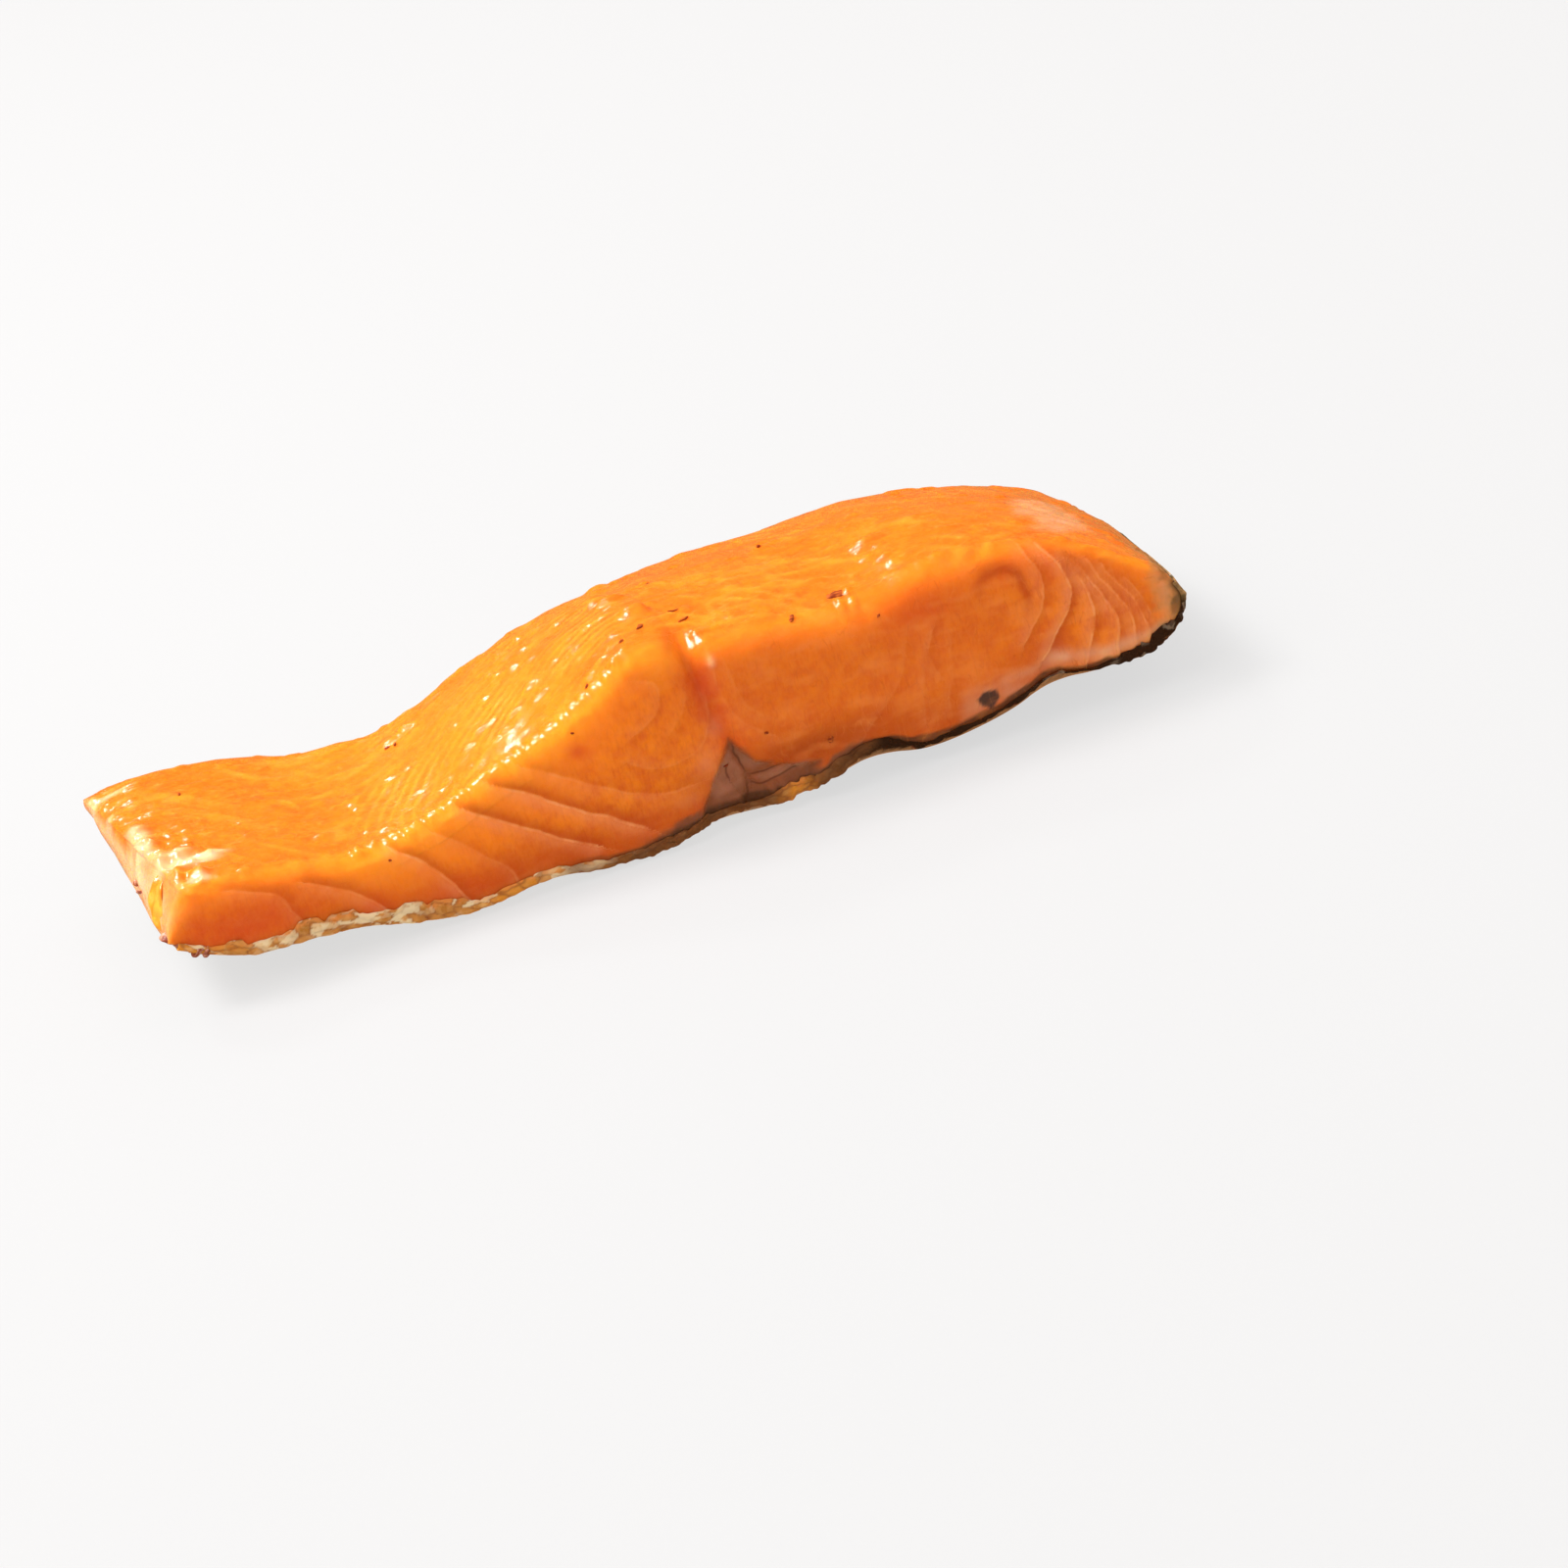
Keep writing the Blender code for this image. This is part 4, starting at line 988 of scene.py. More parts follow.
# --- The flesh ------------------------------------------------------------------------------------
# Colours of the flesh, laid over each other in this order: mark, colour, most of it
FLESH_TONES = (
    # The first two are painted shade low on the cut face; the back muscle's tone is its own
    ("shade_low_down", "#BC4A12", 0.85), ("loin_shade", "#7E2402", 0.9), ("back_muscle", "#D0601E", 0.45),
    # Painted glow under the cut face's top edge; the golden slope is partly painted light
    ("warm", "#FF8822", 0.7), ("glow", "#FFA024", 0.85), ("golden", "#F4881A", 0.4),
    # Painted highlights on the crests of the top, painted shade in its wrinkles
    ("amber_fold", "#DC6814", 0.6), ("crest_highlight", "#FFAC38", 0.45), ("wrinkle_shade", "#B85A16", 0.4),
    # Painted shade left of each sheet, painted light and paler film right of it
    ("red", "#D0441A", 0.85), ("septum_shade", "#B84210", 0.75), ("septum_lit_veil", "#F0A070", 0.45),
    # The belly end's peach is partly painted light
    ("bare", "#E0A074", 0.88), ("fat", "#E0A880", 0.85), ("peach", "#F8BE8C", 0.85),
    # Creamy painted highlights; the mauve film is brighter in painted gleams
    ("cream_highlight", "#FBDDAE", 0.8), ("dark_muscle", "#8A4E30", 0.95), ("mauve", "#A46A4E", 0.85),
    ("dark_low", "#7C4A30", 0.8), ("brown_rim", "#57341F", 0.9), ("tan", "#C08248", 0.78),
    ("olive", "#70502E", 0.85), ("grey_spot", "#43312A", 0.95), ("stain", "#8A5A22", 0.8),
)


def flesh_colours(tree, mottle, fibre, cracks, ridges):
    """Mottled orange, the tones of its parts, and the thin lines between fibres and flakes."""
    threads = where_all(tree, veins(tree, 1.9, (0.9, 1, 2.6), THREAD, 3.1), "cracked")
    swoosh = pattern(tree, 3.2, stretch=(2.4, 1, 0.8), detail=2.0, span=(0.5, 0.68))
    patchy = add_node(tree, "ShaderNodeMapRange", {
        "Value": mottle, "From Min": 0.35, "From Max": 0.6,
        "To Min": 0.2, "To Max": 0.75}).outputs[0]
    sheets = (line_on(tree, "sheet_gap", 0.5), "sheet_pale", patchy)
    # Painted shade along the creases of the dark muscle
    folds = (line_on(tree, "crease_gap", 0.4), "crease_shown")
    return painted(tree, linear("#DC681A"), (
        (mottle, "#EC7E18", 1.0, 0.35, 0.65), (fibre, "#F08C28", 0.32, 0.5, 0.72),
        (fibre, "#BE4C0E", 0.3, 0.5, 0.3), *FLESH_TONES,
        # Painted shade in the sunken cracks
        ((swoosh, "cracked"), "#EE8C42", 0.3), (cracks, "#A63C0E", 0.22),
        # Painted highlights on the raised ridges of the top
        (threads, "#EE9248", 0.2), (ridges, "#FFBE5C", 0.2), (sheets, "#F6AC70", 1.0),
        # Painted shade in the creases of the dark muscle
        (folds, "#5A2A14", 0.6)))


def salmon_flesh():
    """Cold-smoked salmon muscle: light soaks in and comes out orange, under a film of its oil."""
    material, tree, shader = new_material("cold_smoked_salmon")
    mottle = pattern(tree, MOTTLE)
    fibre = pattern(tree, FIBRE_BUNDLE, stretch=(0.6, 1, 2.2), detail=3.0, roughness=0.6)
    ripples = pattern(tree, OIL_RIPPLE, detail=2.0)
    on_cut = where_all(tree, "cut_face")
    off_cut = add_node(tree, "ShaderNodeMapRange", {
        "Value": on_cut, "From Max": 0.6, "To Min": 1.0, "To Max": 0.0}).outputs[0]
    grain_depth = add_node(tree, "ShaderNodeMapRange", {
        "Value": on_cut, "To Min": 0.06, "To Max": 0.45}).outputs[0]
    # Cracks sink in the bump and are painted in shade
    cracks = where_all(tree, veins(tree, 1.7, (0.9, 1, 3.2), THREAD, 2.6), "cracked")
    # Ridges stand up in the bump and are painted as highlights
    ridges = where_all(tree, veins(tree, 1.6, (3.4, 1.0, 1), 0.4, 3.6), off_cut)
    relief = add_node(tree, "ShaderNodeMath", {0: ridges, 1: cracks},
                      operation="SUBTRACT").outputs[0]
    film = add_node(tree, "ShaderNodeMath", {0: fibre, 1: ripples}, operation="ADD").outputs[0]
    coarse = add_node(tree, "ShaderNodeBump", {
        "Height": pattern(tree, WET_SWELL, stretch=(1.7, 0.9, 1.2), roughness=0.6),
        "Strength": 0.22, "Distance": 0.24 * MM}).outputs[0]
    veined = add_node(tree, "ShaderNodeBump", {
        "Height": relief, "Strength": 0.4, "Distance": 0.05 * MM, "Normal": coarse}).outputs[0]
    fine = add_node(tree, "ShaderNodeBump", {
        "Height": fibre, "Strength": grain_depth, "Distance": 0.12 * MM,
        "Normal": veined}).outputs[0]
    oily = add_node(tree, "ShaderNodeBump", {
        "Height": film, "Strength": 0.14, "Distance": 0.05 * MM, "Normal": veined}).outputs[0]
    set_inputs(tree, shader, {
        "Base Color": flesh_colours(tree, mottle, fibre, cracks, ridges),
        "Roughness": pattern(tree, 1.1, detail=2.0, span=(0.3, 0.7), values=(0.2, 0.36)),
        "IOR": 1.38, "Specular IOR Level": 0.15, "Subsurface Weight": 0.5,
        "Subsurface Radius": (1.0, 0.32, 0.08), "Subsurface Scale": 3.0 * MM,
        "Coat Weight": 0.8, "Coat Roughness": 0.15, "Coat IOR": 1.46,
        "Normal": fine, "Coat Normal": oily})
    return material


def make_flesh():
    """The flesh: its form, the marks that colour it, and its fine relief."""
    shares, faces = flesh_lattice()
    points, seen = flesh_base(shares)
    flesh = new_piece("salmon_flesh", points, faces, salmon_flesh(), flesh_marks(seen))
    push_out(flesh.data, fine_relief(seen))
    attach(flesh, BODY)
    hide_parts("flesh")
    return flesh


# --- The skin -------------------------------------------------------------------------------------
def torn_flaps(x, seed):
    """Torn flaps along the skin's border: their share of the height, where in its flap each x is
    (0 to 1), and each flap's own tone.
    """
    rng = np.random.default_rng(seed)
    share, within, tone = np.zeros(x.shape), np.zeros(x.shape), np.zeros(x.shape)
    start = -90.0
    while start < 90:
        width = rng.uniform(2.2, 6.5)
        peak, tall, own_tone = rng.uniform(0.15, 0.85), rng.uniform(0.25, 1.0), rng.uniform()
        t = (x - start) / (1.35 * width)
        up = np.minimum(t / peak, (1 - t) / (1 - peak))
        height = tall * np.clip(2.0 * up, 0, 1)
        over = height > share
        share = np.where(over, height, share)
        within = np.where(over, t, within)
        tone = np.where(over, own_tone, tone)
        start += width
    return share, np.clip(within, 0, 1), tone


def crumpled(path, tall, side):
    """A crumpled dry sheet: height of its facets, about -1 to 1, their tones and their edges."""
    side = np.where(side > 0, OTHER_SIDE, 0.0)
    wide, tone, edge = facets(path + side, 2.2 * tall + 0.35 * path, 3.0, 53)
    fine, fine_tone, _ = facets(path - 0.8 * tall + side, 1.7 * tall, 1.4, 63)
    return 1 - 1.5 * wide - 0.45 * fine, 0.6 * tone + 0.4 * fine_tone, edge


def skin_lattice():
    """Shares along (over 1 round the back end) and across, rise up the border, and border side."""
    along = np.concatenate([np.linspace(SKIN_START, 1, SKIN_LONG + 1),
                            np.linspace(1, 2, SKIN_NOSE + 1)[1:]])
    lift = np.linspace(1, 0, BORDER_ROWS)
    under = np.linspace(0, 1, UNDER_ROWS + 2)[1:-1]
    v_row = np.concatenate([np.zeros(BORDER_ROWS), under, np.ones(BORDER_ROWS)])
    lift_row = np.concatenate([lift, np.zeros(UNDER_ROWS), lift[::-1]])
    side_row = np.concatenate([-np.ones(BORDER_ROWS), np.zeros(UNDER_ROWS), np.ones(BORDER_ROWS)])
    s, v = np.meshgrid(along, v_row, indexing="ij")
    lift, side = (np.meshgrid(along, row, indexing="ij")[1] for row in (lift_row, side_row))
    return s, v, lift, side


def skin_base():
    """The middle surface of the skin as a grid, its thickness, and where each point is."""
    s, v, lift, side = skin_lattice()
    w = np.clip(s - 1, 0, 1) * (skin_reach(v) + 0.03 * lumps(0, v * WIDTH, 0, 2.2, 57))
    at_corner = sets_in(v, 0.9, 0.1) * sets_in(s, 1, 0.3)
    x, z = place(np.clip(s, 0, 1), v, w, np.zeros(s.shape), SKIN_GROW - 0.9 * at_corner)
    run_x, run_z = np.gradient(x, axis=0), np.gradient(z, axis=0)
    length = np.hypot(run_x, run_z)
    in_x, in_z = -run_z / length, run_x / length
    border = side != 0
    path = x + 0.9 * z * (x > 76)            # way along the border, up round the back end too
    share, within, tone = (np.where(side < 0, front, rear) for front, rear in
                           zip(torn_flaps(path, 51), torn_flaps(path, 52)))
    ragged = RAGGED * lumps(path, lift, side, (0.9, 9, 9), 55)
    tall = curve(BORDER_HEIGHT, x) * (FLAP_LEAST + (1 - FLAP_LEAST) * share + ragged) * border
    nicks = NICK_DEPTHS[0] * lumps(path, side * 9, 0, (1.5, 1, 1), 58)
    nicks = nicks + NICK_DEPTHS[1] * lumps(path, side * 9, 0, (0.6, 1, 1), 59)
    dark_part = sets_in(x, -20, 20)
    x = x + in_x * (1 - lift) * nicks * dark_part * border
    z = z + in_z * (1 - lift) * (0.25 + nicks) * dark_part * border
    crease, facet_tone, facet_edge = crumpled(path, lift * tall, side)
    x = x + in_x * lift * tall
    z = z + in_z * lift * tall
    bulge = FLAP_BULGE * np.sin(math.pi * within) * np.sin(math.pi * np.clip(lift, 0, 1) ** 0.8)
    out = BORDER_OUT * (1 - 0.8 * lift) + bulge + CRUMPLE * crease * (1 - 0.6 * lift)
    relief = cut_face_relief(np.where(side > 0, x + SEAM_LEAN, x), z) * border
    out = np.maximum(out, BORDER_LEAST_OUT)
    y = (v - 0.5) * WIDTH + side * (out + np.clip(relief, *BORDER_FOLLOWS))
    root, torn = BORDER_THICK
    thick = np.where(border, torn + (root - torn) * (1 - lift), SHEET_THICK)
    seen = {"x": x, "z": z, "s": s, "v": v, "lift": lift, "side": side, "tone": tone,
            "facet_tone": facet_tone, "facet_edge": facet_edge}
    return np.stack([x, y, z], -1), thick, seen


def skin_marks(seen):
    """How strongly each colour of the skin shows, by name."""
    x, lift, v, tone = seen["x"], seen["lift"], seen["v"], seen["tone"]
    border = np.abs(seen["side"])
    spots = lumps(x, lift * 3, v * WIDTH, 3.2, 61)
    fine = lumps(x, lift * 3, v * WIDTH, 1.2, 62)
    marks = {"border": border}
    marks["brown"] = smooth((x + 24 + 7 * spots) / 14)
    marks["black"] = smooth((x - 22 + 6 * spots) / 14)
    marks["amber"] = border * smooth(2.2 * tone - 0.9 + 0.6 * fine) * (1 - marks["black"])
    marks["gold"] = border * smooth(1.3 - 1.6 * lift + 0.6 * fine) * fades(x, 30, 10)
    marks["thin"] = border * smooth((lift - 0.55 + 0.3 * fine) / 0.45)
    # Painted shade along the facets' edges, in the folds of the crumpled sheet
    marks["fold"] = border * (1 - smooth(seen["facet_edge"] / 0.3))
    # Pale facets, partly painted highlights on the crumpled sheet
    marks["pale_facet_highlight"] = border * sets_in(seen["facet_tone"], 0.46, 0.34)
    marks["pale_facet_highlight"] *= fades(x, -20, 20)
    # Painted glints on the dark skin of the back end
    marks["skin_glint"] = border * sets_in(seen["facet_tone"], 0.6, 0.3) * sets_in(x, 56, 8)
    golden_flap = bell(x, 19.0, 2.6) * (seen["side"] < 0)
    marks["amber"] = np.maximum(marks["amber"], golden_flap)
    marks["black"] = marks["black"] * (1 - golden_flap)
    marks["brown"] = marks["brown"] * (1 - 0.9 * golden_flap)
    marks["red_bits"] = border * fades(lift, 0.2, 0.4) * smooth(2.5 * fine - 1.0)
    marks["olive_tip"] = sets_in(x, 70, 4) * smooth((seen["z"] - 12.6 - 1.4 * spots) / 2.6)
    marks["belly"] = fades(x, -10, 50)
    return {name: np.clip(values, 0, 1) for name, values in marks.items()}


# Colours of the skin's dried border, laid over each other in this order: mark, colour, most of it
BORDER_TONES = (
    ("gold", "#BE7830", 0.75), ("amber", "#D88424", 0.85), ("thin", "#E8823C", 0.7),
    # Painted shade in the folds, pale facets partly painted highlights
    ("fold", "#9A5824", 0.8), ("pale_facet_highlight", "#F8DCB0", 0.7), ("brown", "#5C3418", 0.88),
    # Painted glints on the black skin
    ("black", "#241208", 0.96), ("skin_glint", "#927C64", 0.6), ("red_bits", "#7A3018", 0.6),
)


def salmon_skin():
    """Salmon skin, smoked and dried at its edges: thin, brittle and shiny like crumpled foil."""
    material, tree, shader = new_material("smoked_salmon_skin")
    spots = pattern(tree, DRY_WRINKLE, detail=4.0)
    scales = add_node(tree, "ShaderNodeTexVoronoi", {
        "Vector": add_node(tree, "ShaderNodeTexCoord").outputs["Object"],
        "Scale": 1 / (SCALE_SIZE * MM), "Randomness": 0.45}).outputs["Distance"]
    border = painted(tree, linear("#B8742E"), ((spots, "#DCA25C", 1.0, 0.42, 0.62), *BORDER_TONES))
    olive = painted(tree, linear("#705834"), ((spots, "#B48654", 1.0, 0.4, 0.6),))
    colour = painted(tree, linear("#2B241B"), (("belly", "#B9AE98", 1.0), ("border", border, 1.0),
                                               ("olive_tip", olive, 1.0)))
    roughness = add_node(tree, "ShaderNodeMapRange", {
        "Value": spots, "From Min": 0.3, "From Max": 0.7,
        "To Min": 0.22, "To Max": 0.42}).outputs[0]
    scaly = add_node(tree, "ShaderNodeBump", {
        "Height": scales, "Strength": 0.4, "Distance": 0.25 * MM}).outputs[0]
    dried = add_node(tree, "ShaderNodeBump", {
        "Height": spots, "Strength": 0.4, "Distance": 0.2 * MM, "Normal": scaly}).outputs[0]
    set_inputs(tree, shader, {
        "Base Color": colour, "Roughness": roughness, "IOR": 1.45,
        "Subsurface Weight": 0.35, "Subsurface Radius": (1.0, 0.6, 0.3),
        "Subsurface Scale": 1.2 * MM, "Specular IOR Level": 0.3,
        "Coat Weight": 0.9, "Coat Roughness": 0.1, "Normal": dried, "Coat Normal": dried})
    return material


def sheet_from_grid(points, thick):
    """Vertices and faces of a closed sheet round a grid of points."""
    run = np.gradient(points, axis=0)
    wide = np.gradient(points, axis=1)
    normal = np.cross(wide, run)
    normal = normal / np.maximum(np.linalg.norm(normal, axis=-1, keepdims=True), 1e-9)
    half = 0.5 * thick[..., None]
    layers = np.concatenate([(points - normal * half).reshape(-1, 3),
                             (points + normal * half).reshape(-1, 3)])
    rows, columns = thick.shape
    lower = rows * columns
    faces = []
    for r in range(rows - 1):
        for c in range(columns - 1):
            a = r * columns + c
            quad = (a, a + columns, a + columns + 1, a + 1)
            faces.append(quad)
            faces.append(tuple(n + lower for n in reversed(quad)))
    rim = [(r, 0) for r in range(rows)] + [(rows - 1, c) for c in range(1, columns)]
    rim += [(r, columns - 1) for r in range(rows - 2, -1, -1)]
    rim += [(0, c) for c in range(columns - 2, 0, -1)]
    numbers = [r * columns + c for r, c in rim]
    for a, b in zip(numbers, numbers[1:] + numbers[:1]):
        faces.append((b, a, a + lower, b + lower))
    return layers, faces


def make_skin():
    """The skin: one thin sheet under the portion, with its dried border."""
    points, thick, seen = skin_base()
    layers, faces = sheet_from_grid(points, thick)
    marks = {name: np.tile(values.ravel(), 2) for name, values in skin_marks(seen).items()}
    skin = new_piece("salmon_skin", layers, faces, salmon_skin(), marks)
    skin.data.set_sharp_from_angle(angle=math.radians(30))
    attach(skin, BODY)
    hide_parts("skin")


# --- Herbs, scraps and the amber tongue -----------------------------------------------------------
UP = Vector((0, 0, 1))
HERB_THICK = 0.4                    # crumpled dried flakes are thicker than a flat leaf
HERB_LIFT = 0.08                    # a flake's middle lies this much above the flesh
# Dried herb flakes and dark specks: x, y, length, width, turn in degrees (0 is along x)
HERBS = ((32.6, -17.6, 3.4, 1.7, -10), (24.5, -20.8, 1.6, 0.8, 70), (8.8, -11.0, 1.6, 0.4, 0),
         (9.6, -14.4, 1.9, 0.5, 22), (2.9, -14.6, 1.7, 0.8, 55), (-0.6, -17.2, 0.9, 0.4, 30),
         (8.0, 3.4, 0.9, 0.4, 50), (26.5, 5.0, 0.8, 0.5, 60), (-36.9, 10.4, 1.1, 0.5, 20),
         (-35.6, 10.0, 0.8, 0.5, 70), (-69.6, 9.6, 1.0, 0.4, 80), (-7.7, -20.4, 0.9, 0.5, 40))
# The same on the cut face: x, height, length, width, turn
FACE_SPECKS = ((25.6, 9.8, 1.3, 0.8, 70), (16.3, 14.3, 0.6, 0.4, 0), (-43.2, 13.8, 0.5, 0.35, 0),
               (37.0, 27.0, 0.8, 0.4, 20), (9.2, 10.4, 0.7, 0.4, 10), (-12.0, 24.6, 0.5, 0.4, 0))
# Dried brown scraps, six at the belly corner and three on the belly end: centre, then half sizes
SCRAPS = ((-77.3, -21.6, 11.7, 1.7, 0.9, 0.6), (-76.2, -22.3, 11.3, 1.1, 0.8, 0.6),
          (-78.0, -20.8, 12.1, 0.9, 0.8, 0.7), (-73.9, -22.7, 9.6, 1.6, 0.8, 0.6),
          (-72.7, -22.8, 8.9, 1.4, 0.8, 0.6), (-75.2, -22.4, 10.3, 1.1, 0.7, 0.5),
          (-79.9, -5.2, 14.2, 0.5, 0.4, 0.4), (-79.6, -6.8, 13.4, 0.4, 0.5, 0.3),
          (-79.0, -8.6, 12.8, 0.5, 0.3, 0.4))
# Amber tongue of fat that hangs over the belly end: spine, and its width at each point
TONGUE = ((-75.4, -13.4, 18.3, 1.6), (-76.8, -14.4, 17.0, 3.2), (-77.6, -16.0, 15.0, 3.4),
          (-77.8, -17.8, 12.8, 2.6), (-77.3, -19.4, 11.2, 0.9))
TONGUE_ACROSS = (0.58, -0.72, 0.35)
TONGUE_THICK = 0.7
TONGUE_CURL = 0.5
TONGUE_WAVE = 0.12
TONGUE_STEPS = 8                    # from each point of the spine to the next
TONGUE_ROUND = 24


def flake_tree(name):
    """Geometry Nodes: a small rough flake on every point, turned and sized by its attributes."""
    tree = bpy.data.node_groups.new(name, "GeometryNodeTree")
    for label, kind in (("Points", "NodeSocketGeometry"), ("Lumpiness", "NodeSocketFloat"),
                        ("Grain", "NodeSocketFloat"), ("Finish", "NodeSocketMaterial")):
        tree.interface.new_socket(label, in_out="INPUT", socket_type=kind)
    tree.interface.new_socket("Flakes", in_out="OUTPUT", socket_type="NodeSocketGeometry")
    given = add_node(tree, "NodeGroupInput").outputs
    ball = add_node(tree, "GeometryNodeMeshIcoSphere", {"Radius": 1.0, "Subdivisions": 3})
    turn, size = (add_node(tree, "GeometryNodeInputNamedAttribute", {"Name": label},
                           data_type="FLOAT_VECTOR").outputs["Attribute"]
                  for label in ("turn", "size"))
    placed = add_node(tree, "GeometryNodeInstanceOnPoints", {
        "Points": given["Points"], "Instance": ball.outputs["Mesh"],
        "Rotation": turn, "Scale": size})
    real = add_node(tree, "GeometryNodeRealizeInstances", {"Geometry": placed.outputs[0]})
    noise = add_node(tree, "ShaderNodeTexNoise", {"Scale": given["Grain"], "Detail": 2.0})
    centred = add_node(tree, "ShaderNodeVectorMath", {0: noise.outputs["Color"],
                                                      1: (0.5, 0.5, 0.5)}, operation="SUBTRACT")
    shift = add_node(tree, "ShaderNodeVectorMath", {0: centred.outputs[0],
                                                    "Scale": given["Lumpiness"]}, operation="SCALE")
    rough = add_node(tree, "GeometryNodeSetPosition", {"Geometry": real.outputs[0],
                                                       "Offset": shift.outputs[0]})
    finished = add_node(tree, "GeometryNodeSetMaterial", {"Geometry": rough.outputs[0],
                                                          "Material": given["Finish"]})
    add_node(tree, "NodeGroupOutput", {"Flakes": finished.outputs[0]})
    return tree


def grow_flakes(name, centres, turns, sizes, material, lumpiness, grain):
    """One piece of many rough flakes; all its lengths are in millimetres."""
    points = new_piece(name + "_points", centres, [], material)
    for label, values in (("turn", turns), ("size", np.asarray(sizes) * MM)):
        layer = points.data.attributes.new(label, "FLOAT_VECTOR", "POINT")
        layer.data.foreach_set("vector", np.asarray(values, np.float32).ravel())
    tree = flake_tree(name)
    modifier = points.modifiers.new("flakes", "NODES")
    modifier.node_group = tree
    inputs = {item.name: item.identifier for item in tree.interface.items_tree
              if item.in_out == "INPUT"}
    modifier[inputs["Lumpiness"]] = lumpiness * MM
    modifier[inputs["Grain"]] = 1 / (grain * MM)
    modifier[inputs["Finish"]] = material
    graph = bpy.context.evaluated_depsgraph_get()
    mesh = bpy.data.meshes.new_from_object(points.evaluated_get(graph))
    bpy.data.objects.remove(points)
    mesh.name = name
    mesh.shade_smooth()
    piece = add_object(name, mesh)
    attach(piece, BODY)


def dried_herb():
    """Crushed dried herb and stem: dry and dull, a deeper red-brown where the oil soaked in."""
    material, tree, shader = new_material("dried_herb")
    grain = pattern(tree, HERB_GRAIN, stretch=(2.5, 1, 1))
    set_inputs(tree, shader, {
        "Base Color": painted(tree, linear("#7C2C10"), ((grain, "#BC5E22", 1.0, 0.45, 0.62),)),
        "Roughness": 0.6, "IOR": 1.45, "Specular IOR Level": 0.1, "Subsurface Weight": 0.2,
        "Subsurface Radius": (1.0, 0.3, 0.1), "Subsurface Scale": 0.5 * MM})
    return material


def dried_scrap():
    """Flesh dried hard at a thin corner in the smoke: red-brown, glassy, paler where broken."""
    material, tree, shader = new_material("smoke_dried_scrap")
    patches = pattern(tree, 0.9)
    fine = pattern(tree, 0.3)
    bump = add_node(tree, "ShaderNodeBump", {
        "Height": fine, "Strength": 0.6, "Distance": 0.15 * MM})
    set_inputs(tree, shader, {
        "Base Color": painted(tree, linear("#8A3C1C"), ((patches, "#D09478", 1.0, 0.42, 0.6),
                                                        (fine, "#54200F", 1.0, 0.56, 0.7))),
        "Roughness": 0.45, "IOR": 1.45, "Coat Weight": 0.4, "Coat Roughness": 0.2,
        "Subsurface Weight": 0.3, "Subsurface Radius": (1.0, 0.35, 0.15),
        "Subsurface Scale": 0.8 * MM, "Normal": bump.outputs[0]})
    return material


def smoked_fat():
    """A thin tongue of smoked fat: nearly clear amber that lights up from behind."""
    material, tree, shader = new_material("smoked_fat")
    grain = pattern(tree, 1.6, stretch=(1, 1, 2.5))
    bump = add_node(tree, "ShaderNodeBump", {
        "Height": grain, "Strength": 0.5, "Distance": 0.4 * MM})
    set_inputs(tree, shader, {
        "Base Color": painted(tree, linear("#E08420"), ((grain, "#F6A73A", 1.0, 0.4, 0.6),)),
        "Roughness": 0.28, "IOR": 1.46, "Coat Weight": 0.9, "Coat Roughness": 0.07,
        "Subsurface Weight": 0.6, "Subsurface Radius": (1.0, 0.4, 0.1),
        "Subsurface Scale": 2.5 * MM, "Normal": bump.outputs[0], "Coat Normal": bump.outputs[0]})
    return material


def met_by(flesh, start, way):
    """Where a line from start meets the flesh, in millimetres, and which way the surface looks."""
    _, place_at, normal, _ = flesh.ray_cast(Vector(start) * MM, Vector(way))
    return place_at / MM, normal


def make_herbs(flesh):
    """Herb flakes that lie flat on the top, and specks on the cut face."""
    marks = [(met_by(flesh, (x, y, 60), (0, 0, -1)), rest) for x, y, *rest in HERBS]
    marks += [(met_by(flesh, (x, -60, z), (0, 1, 0)), rest) for x, z, *rest in FACE_SPECKS]
    centres, turns, sizes = [], [], []
    for (place_at, normal), (long, wide, turn) in marks:
        on_face = normal.z < 0.5
        lying = normal.to_track_quat("Z", "Y") if on_face else UP.rotation_difference(normal)
        turned = lying @ Matrix.Rotation(math.radians(turn), 3, "Z").to_quaternion()
        centres.append(place_at + normal * HERB_LIFT)
        turns.append(turned.to_euler())
        sizes.append((long / 2, wide / 2, HERB_THICK / 2))
    grow_flakes("herb_flakes", centres, turns, sizes, dried_herb(), lumpiness=0.7, grain=0.9)


def make_scraps():
    """Dried scraps at the belly end, each turned its own way."""
    centres = [scrap[:3] for scrap in SCRAPS]
    sizes = [scrap[3:] for scrap in SCRAPS]
    turns = [(0.3 * i, 0.35 - 0.2 * i, -0.15 + 0.25 * i) for i in range(len(SCRAPS))]
    grow_flakes("dried_scraps", centres, turns, sizes, dried_scrap(), lumpiness=1.3, grain=2.0)


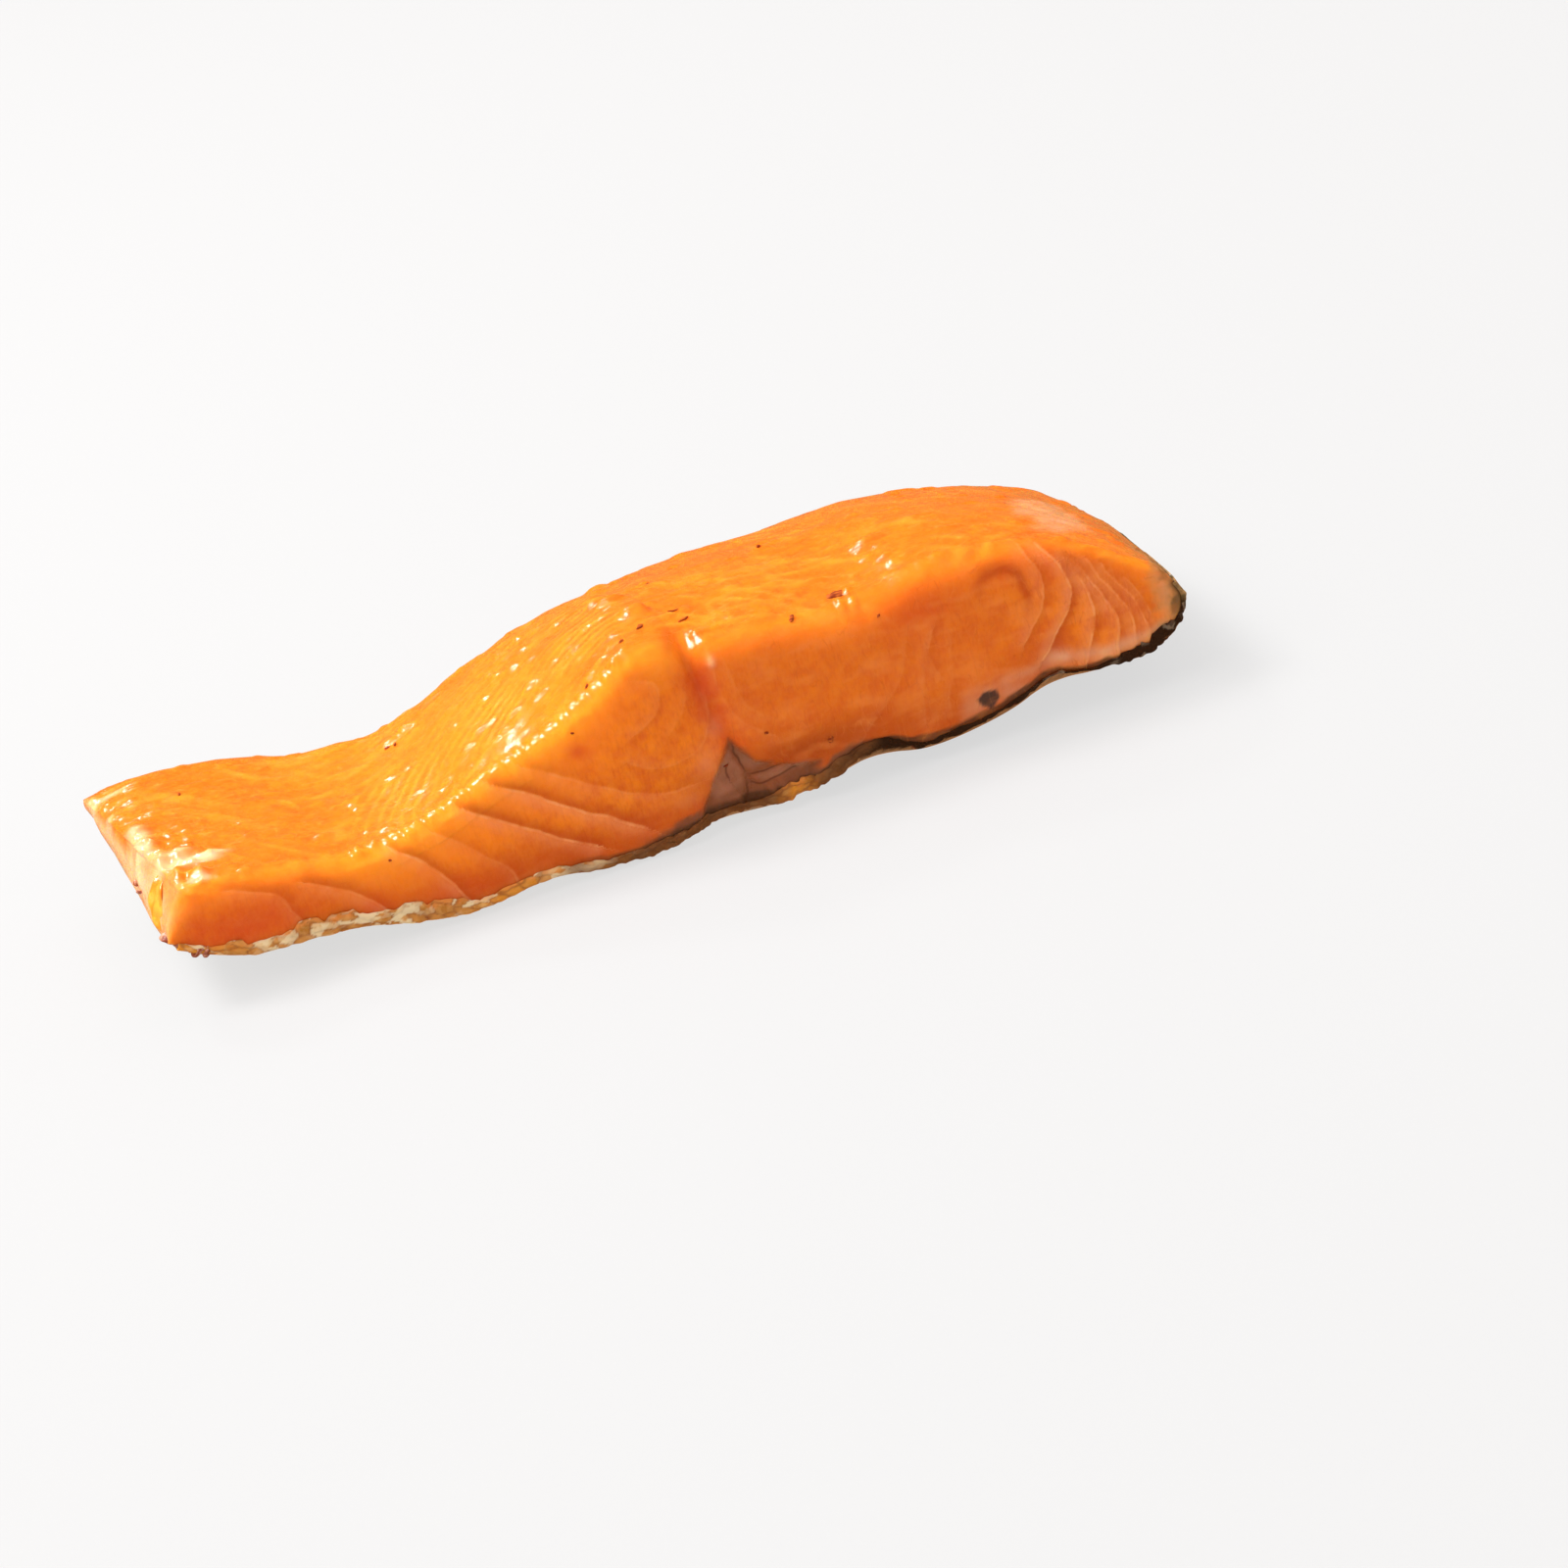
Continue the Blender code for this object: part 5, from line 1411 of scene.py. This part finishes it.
def make_flap():
    """The amber flap: a rounded tongue of fat along its spine, closed all round."""
    line = smooth_line(TONGUE, TONGUE_STEPS)
    t = np.linspace(0, len(TONGUE) - 1, len(line))
    path, width = line[:, :3], line[:, 3]
    width = width * np.sqrt(np.clip(1 - ((t - 1.9) / 2.15) ** 2, 0.02, 1)) ** 0.5
    across = np.array(Vector(TONGUE_ACROSS).normalized())
    out = np.cross(np.gradient(path, axis=0), across)
    out /= np.linalg.norm(out, axis=1, keepdims=True)
    around = np.linspace(0, 2 * math.pi, TONGUE_ROUND, endpoint=False)
    rings = [path[i] + width[i] / 2 * math.cos(a) * across
             + out[i] * (TONGUE_THICK / 2 * math.sin(a) + TONGUE_CURL * math.cos(a) ** 2
                         + TONGUE_WAVE * math.sin(5 * t[i] + 2 * a))
             for i in range(len(t)) for a in around]
    count = len(around)
    faces = [(i * count + a, i * count + (a + 1) % count, (i + 1) * count + (a + 1) % count,
              (i + 1) * count + a) for i in range(len(t) - 1) for a in range(count)]
    faces += [tuple(range(count))[::-1], tuple(range((len(t) - 1) * count, len(t) * count))]
    flap = new_piece("amber_flap", rings, faces, smoked_fat())
    shape = bmesh.new()
    shape.from_mesh(flap.data)
    bmesh.ops.recalc_face_normals(shape, faces=shape.faces)
    shape.to_mesh(flap.data)
    shape.free()
    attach(flap, BODY)


# --- Studio ---------------------------------------------------------------------------------------
LENS = 100.0
SENSOR = 36.0
FRAME_PIXELS = 1600
VIEW_AZIMUTH = -15.0
VIEW_ELEVATION = 25.0
LEAN = 13.0                         # the photographed portion leans by this; here it lies level
PIXELS_PER_MM = 6.8                 # at the point below
FRONT_POINT = (-33.4, -23.0, 0.9)   # lowest point of the front edge, and where the photo has it
FRONT_POINT_PIXEL = (484, 931)
LIT_POINT = (0, 0, 15)              # the softboxes are aimed at this point of the portion
# Square lit panels: name, where the light comes from, distance and size in metres, watts
SOFTBOXES = (("key", (-0.52, 0.22, 0.82), 0.9, 0.30, 7.5),
             ("back light", (-0.25, 0.70, 0.67), 1.0, 0.16, 1.8))
# Wide soft light: name, where it comes from, how wide it spreads in degrees, strength
WIDE_LIGHTS = (("left window", (-0.55, 0.0, 0.83), 60, 0.77),
               ("ceiling", (0.0, -0.2, 1.0), 170, 0.28),
               ("front fill", (0.1, -1.0, 0.5), 90, 0.38),
               ("back fill", (0.75, 0.75, 0.6), 90, 0.45))
ROOM_LIGHT = (0.14, 0.62)           # of the room all round, and low behind the portion
FLOOR_HALF = 12000                  # so wide that its edge isn't seen


def make_camera():
    """The photo's view, turned with the portion so that it lies level here."""
    a, e = math.radians(VIEW_AZIMUTH), math.radians(VIEW_ELEVATION)
    right = Vector((math.cos(a), math.sin(a), 0))
    back = Vector((math.sin(a) * math.cos(e), -math.cos(a) * math.cos(e), math.sin(e)))
    level = Matrix.Rotation(math.radians(LEAN), 3, "Y")
    right, up, back = (level @ axis for axis in (right, back.cross(right), back))
    focal = LENS / SENSOR * FRAME_PIXELS
    distance = focal / PIXELS_PER_MM
    off_x = (FRONT_POINT_PIXEL[0] - FRAME_PIXELS / 2) / PIXELS_PER_MM
    off_y = (FRAME_PIXELS / 2 - FRONT_POINT_PIXEL[1]) / PIXELS_PER_MM
    data = bpy.data.cameras.new("camera")
    data.lens, data.sensor_width = LENS, SENSOR
    camera = add_object("camera", data)
    camera.location = (Vector(FRONT_POINT) - right * off_x - up * off_y + back * distance) * MM
    camera.rotation_euler = Matrix((right, up, back)).transposed().to_euler()
    bpy.context.scene.camera = camera


def aim(light, towards):
    """Turn a light so that it shines onto the portion from a direction, which is returned."""
    direction = Vector(towards).normalized()
    light.rotation_euler = direction.to_track_quat("Z", "Y").to_euler()
    return direction


def add_softbox(name, towards, distance, size, power):
    """A square lit panel, which the wet flesh mirrors."""
    data = bpy.data.lights.new(name, "AREA")
    data.shape, data.size, data.energy = "SQUARE", size, power
    light = add_object(name, data)
    light.location = aim(light, towards) * distance + Vector(LIT_POINT) * MM


def add_wide_light(name, towards, spread, strength):
    """Even light from a wide part of the studio, too broad to be seen mirrored."""
    data = bpy.data.lights.new(name, "SUN")
    data.angle, data.energy = math.radians(spread), strength * math.pi
    light = add_object(name, data)
    aim(light, towards)
    light.visible_glossy = False


def make_studio():
    """Soft light from the upper left; the room looks pale, but is dim and warm to the gloss."""
    scene = bpy.context.scene
    scene.view_settings.view_transform = "Standard"
    world = bpy.data.worlds.new("studio")
    scene.world = world
    world.use_nodes = True
    tree = world.node_tree
    background = tree.nodes["Background"]
    parts = add_node(tree, "ShaderNodeSeparateXYZ", {
        0: add_node(tree, "ShaderNodeTexCoord").outputs["Generated"]}).outputs
    behind, low = (add_node(tree, "ShaderNodeMapRange", {
        "Value": parts[axis], "From Min": start, "From Max": full}).outputs[0]
        for axis, start, full in (("Y", -0.3, 0.8), ("Z", 0.35, 0.05)))
    dim = add_node(tree, "ShaderNodeMapRange", {
        "Value": where_all(tree, behind, low), "To Min": ROOM_LIGHT[0],
        "To Max": ROOM_LIGHT[1]}).outputs[0]
    seen = add_node(tree, "ShaderNodeLightPath").outputs["Is Camera Ray"]
    strength = add_node(tree, "ShaderNodeMix", {0: seen, 2: dim, 3: 1.0}).outputs[0]
    tone = painted(tree, linear("#F0A468"), ((seen, "#F7F7F7", 1.0),))
    set_inputs(tree, background, {"Strength": strength, "Color": tone})
    for softbox in SOFTBOXES:
        add_softbox(*softbox)
    for wide_light in WIDE_LIGHTS:
        add_wide_light(*wide_light)


def make_floor():
    """White paper on a light table, so that only faint shadows fall on it."""
    material, tree, shader = new_material("white_paper")
    grain = pattern(tree, PAPER_GRAIN, detail=2.0)
    set_inputs(tree, shader, {
        "Base Color": painted(tree, linear("#636363"), ((grain, "#656565", 1.0),)),
        "Roughness": 0.9, "Specular IOR Level": 0.1,
        "Emission Color": (1, 1, 1, 1), "Emission Strength": 0.65})
    corners = [(FLOOR_HALF * x, FLOOR_HALF * y, 0) for x, y in ((-1, -1), (1, -1), (1, 1), (-1, 1))]
    floor = new_piece("floor", corners, [(0, 1, 2, 3)], material)
    floor.visible_glossy = False


BODY = next(iter(frame["bodies"]))

flesh = make_flesh()
make_skin()
bpy.context.view_layer.update()
make_herbs(flesh)
make_scraps()
make_flap()
make_camera()
make_studio()
make_floor()
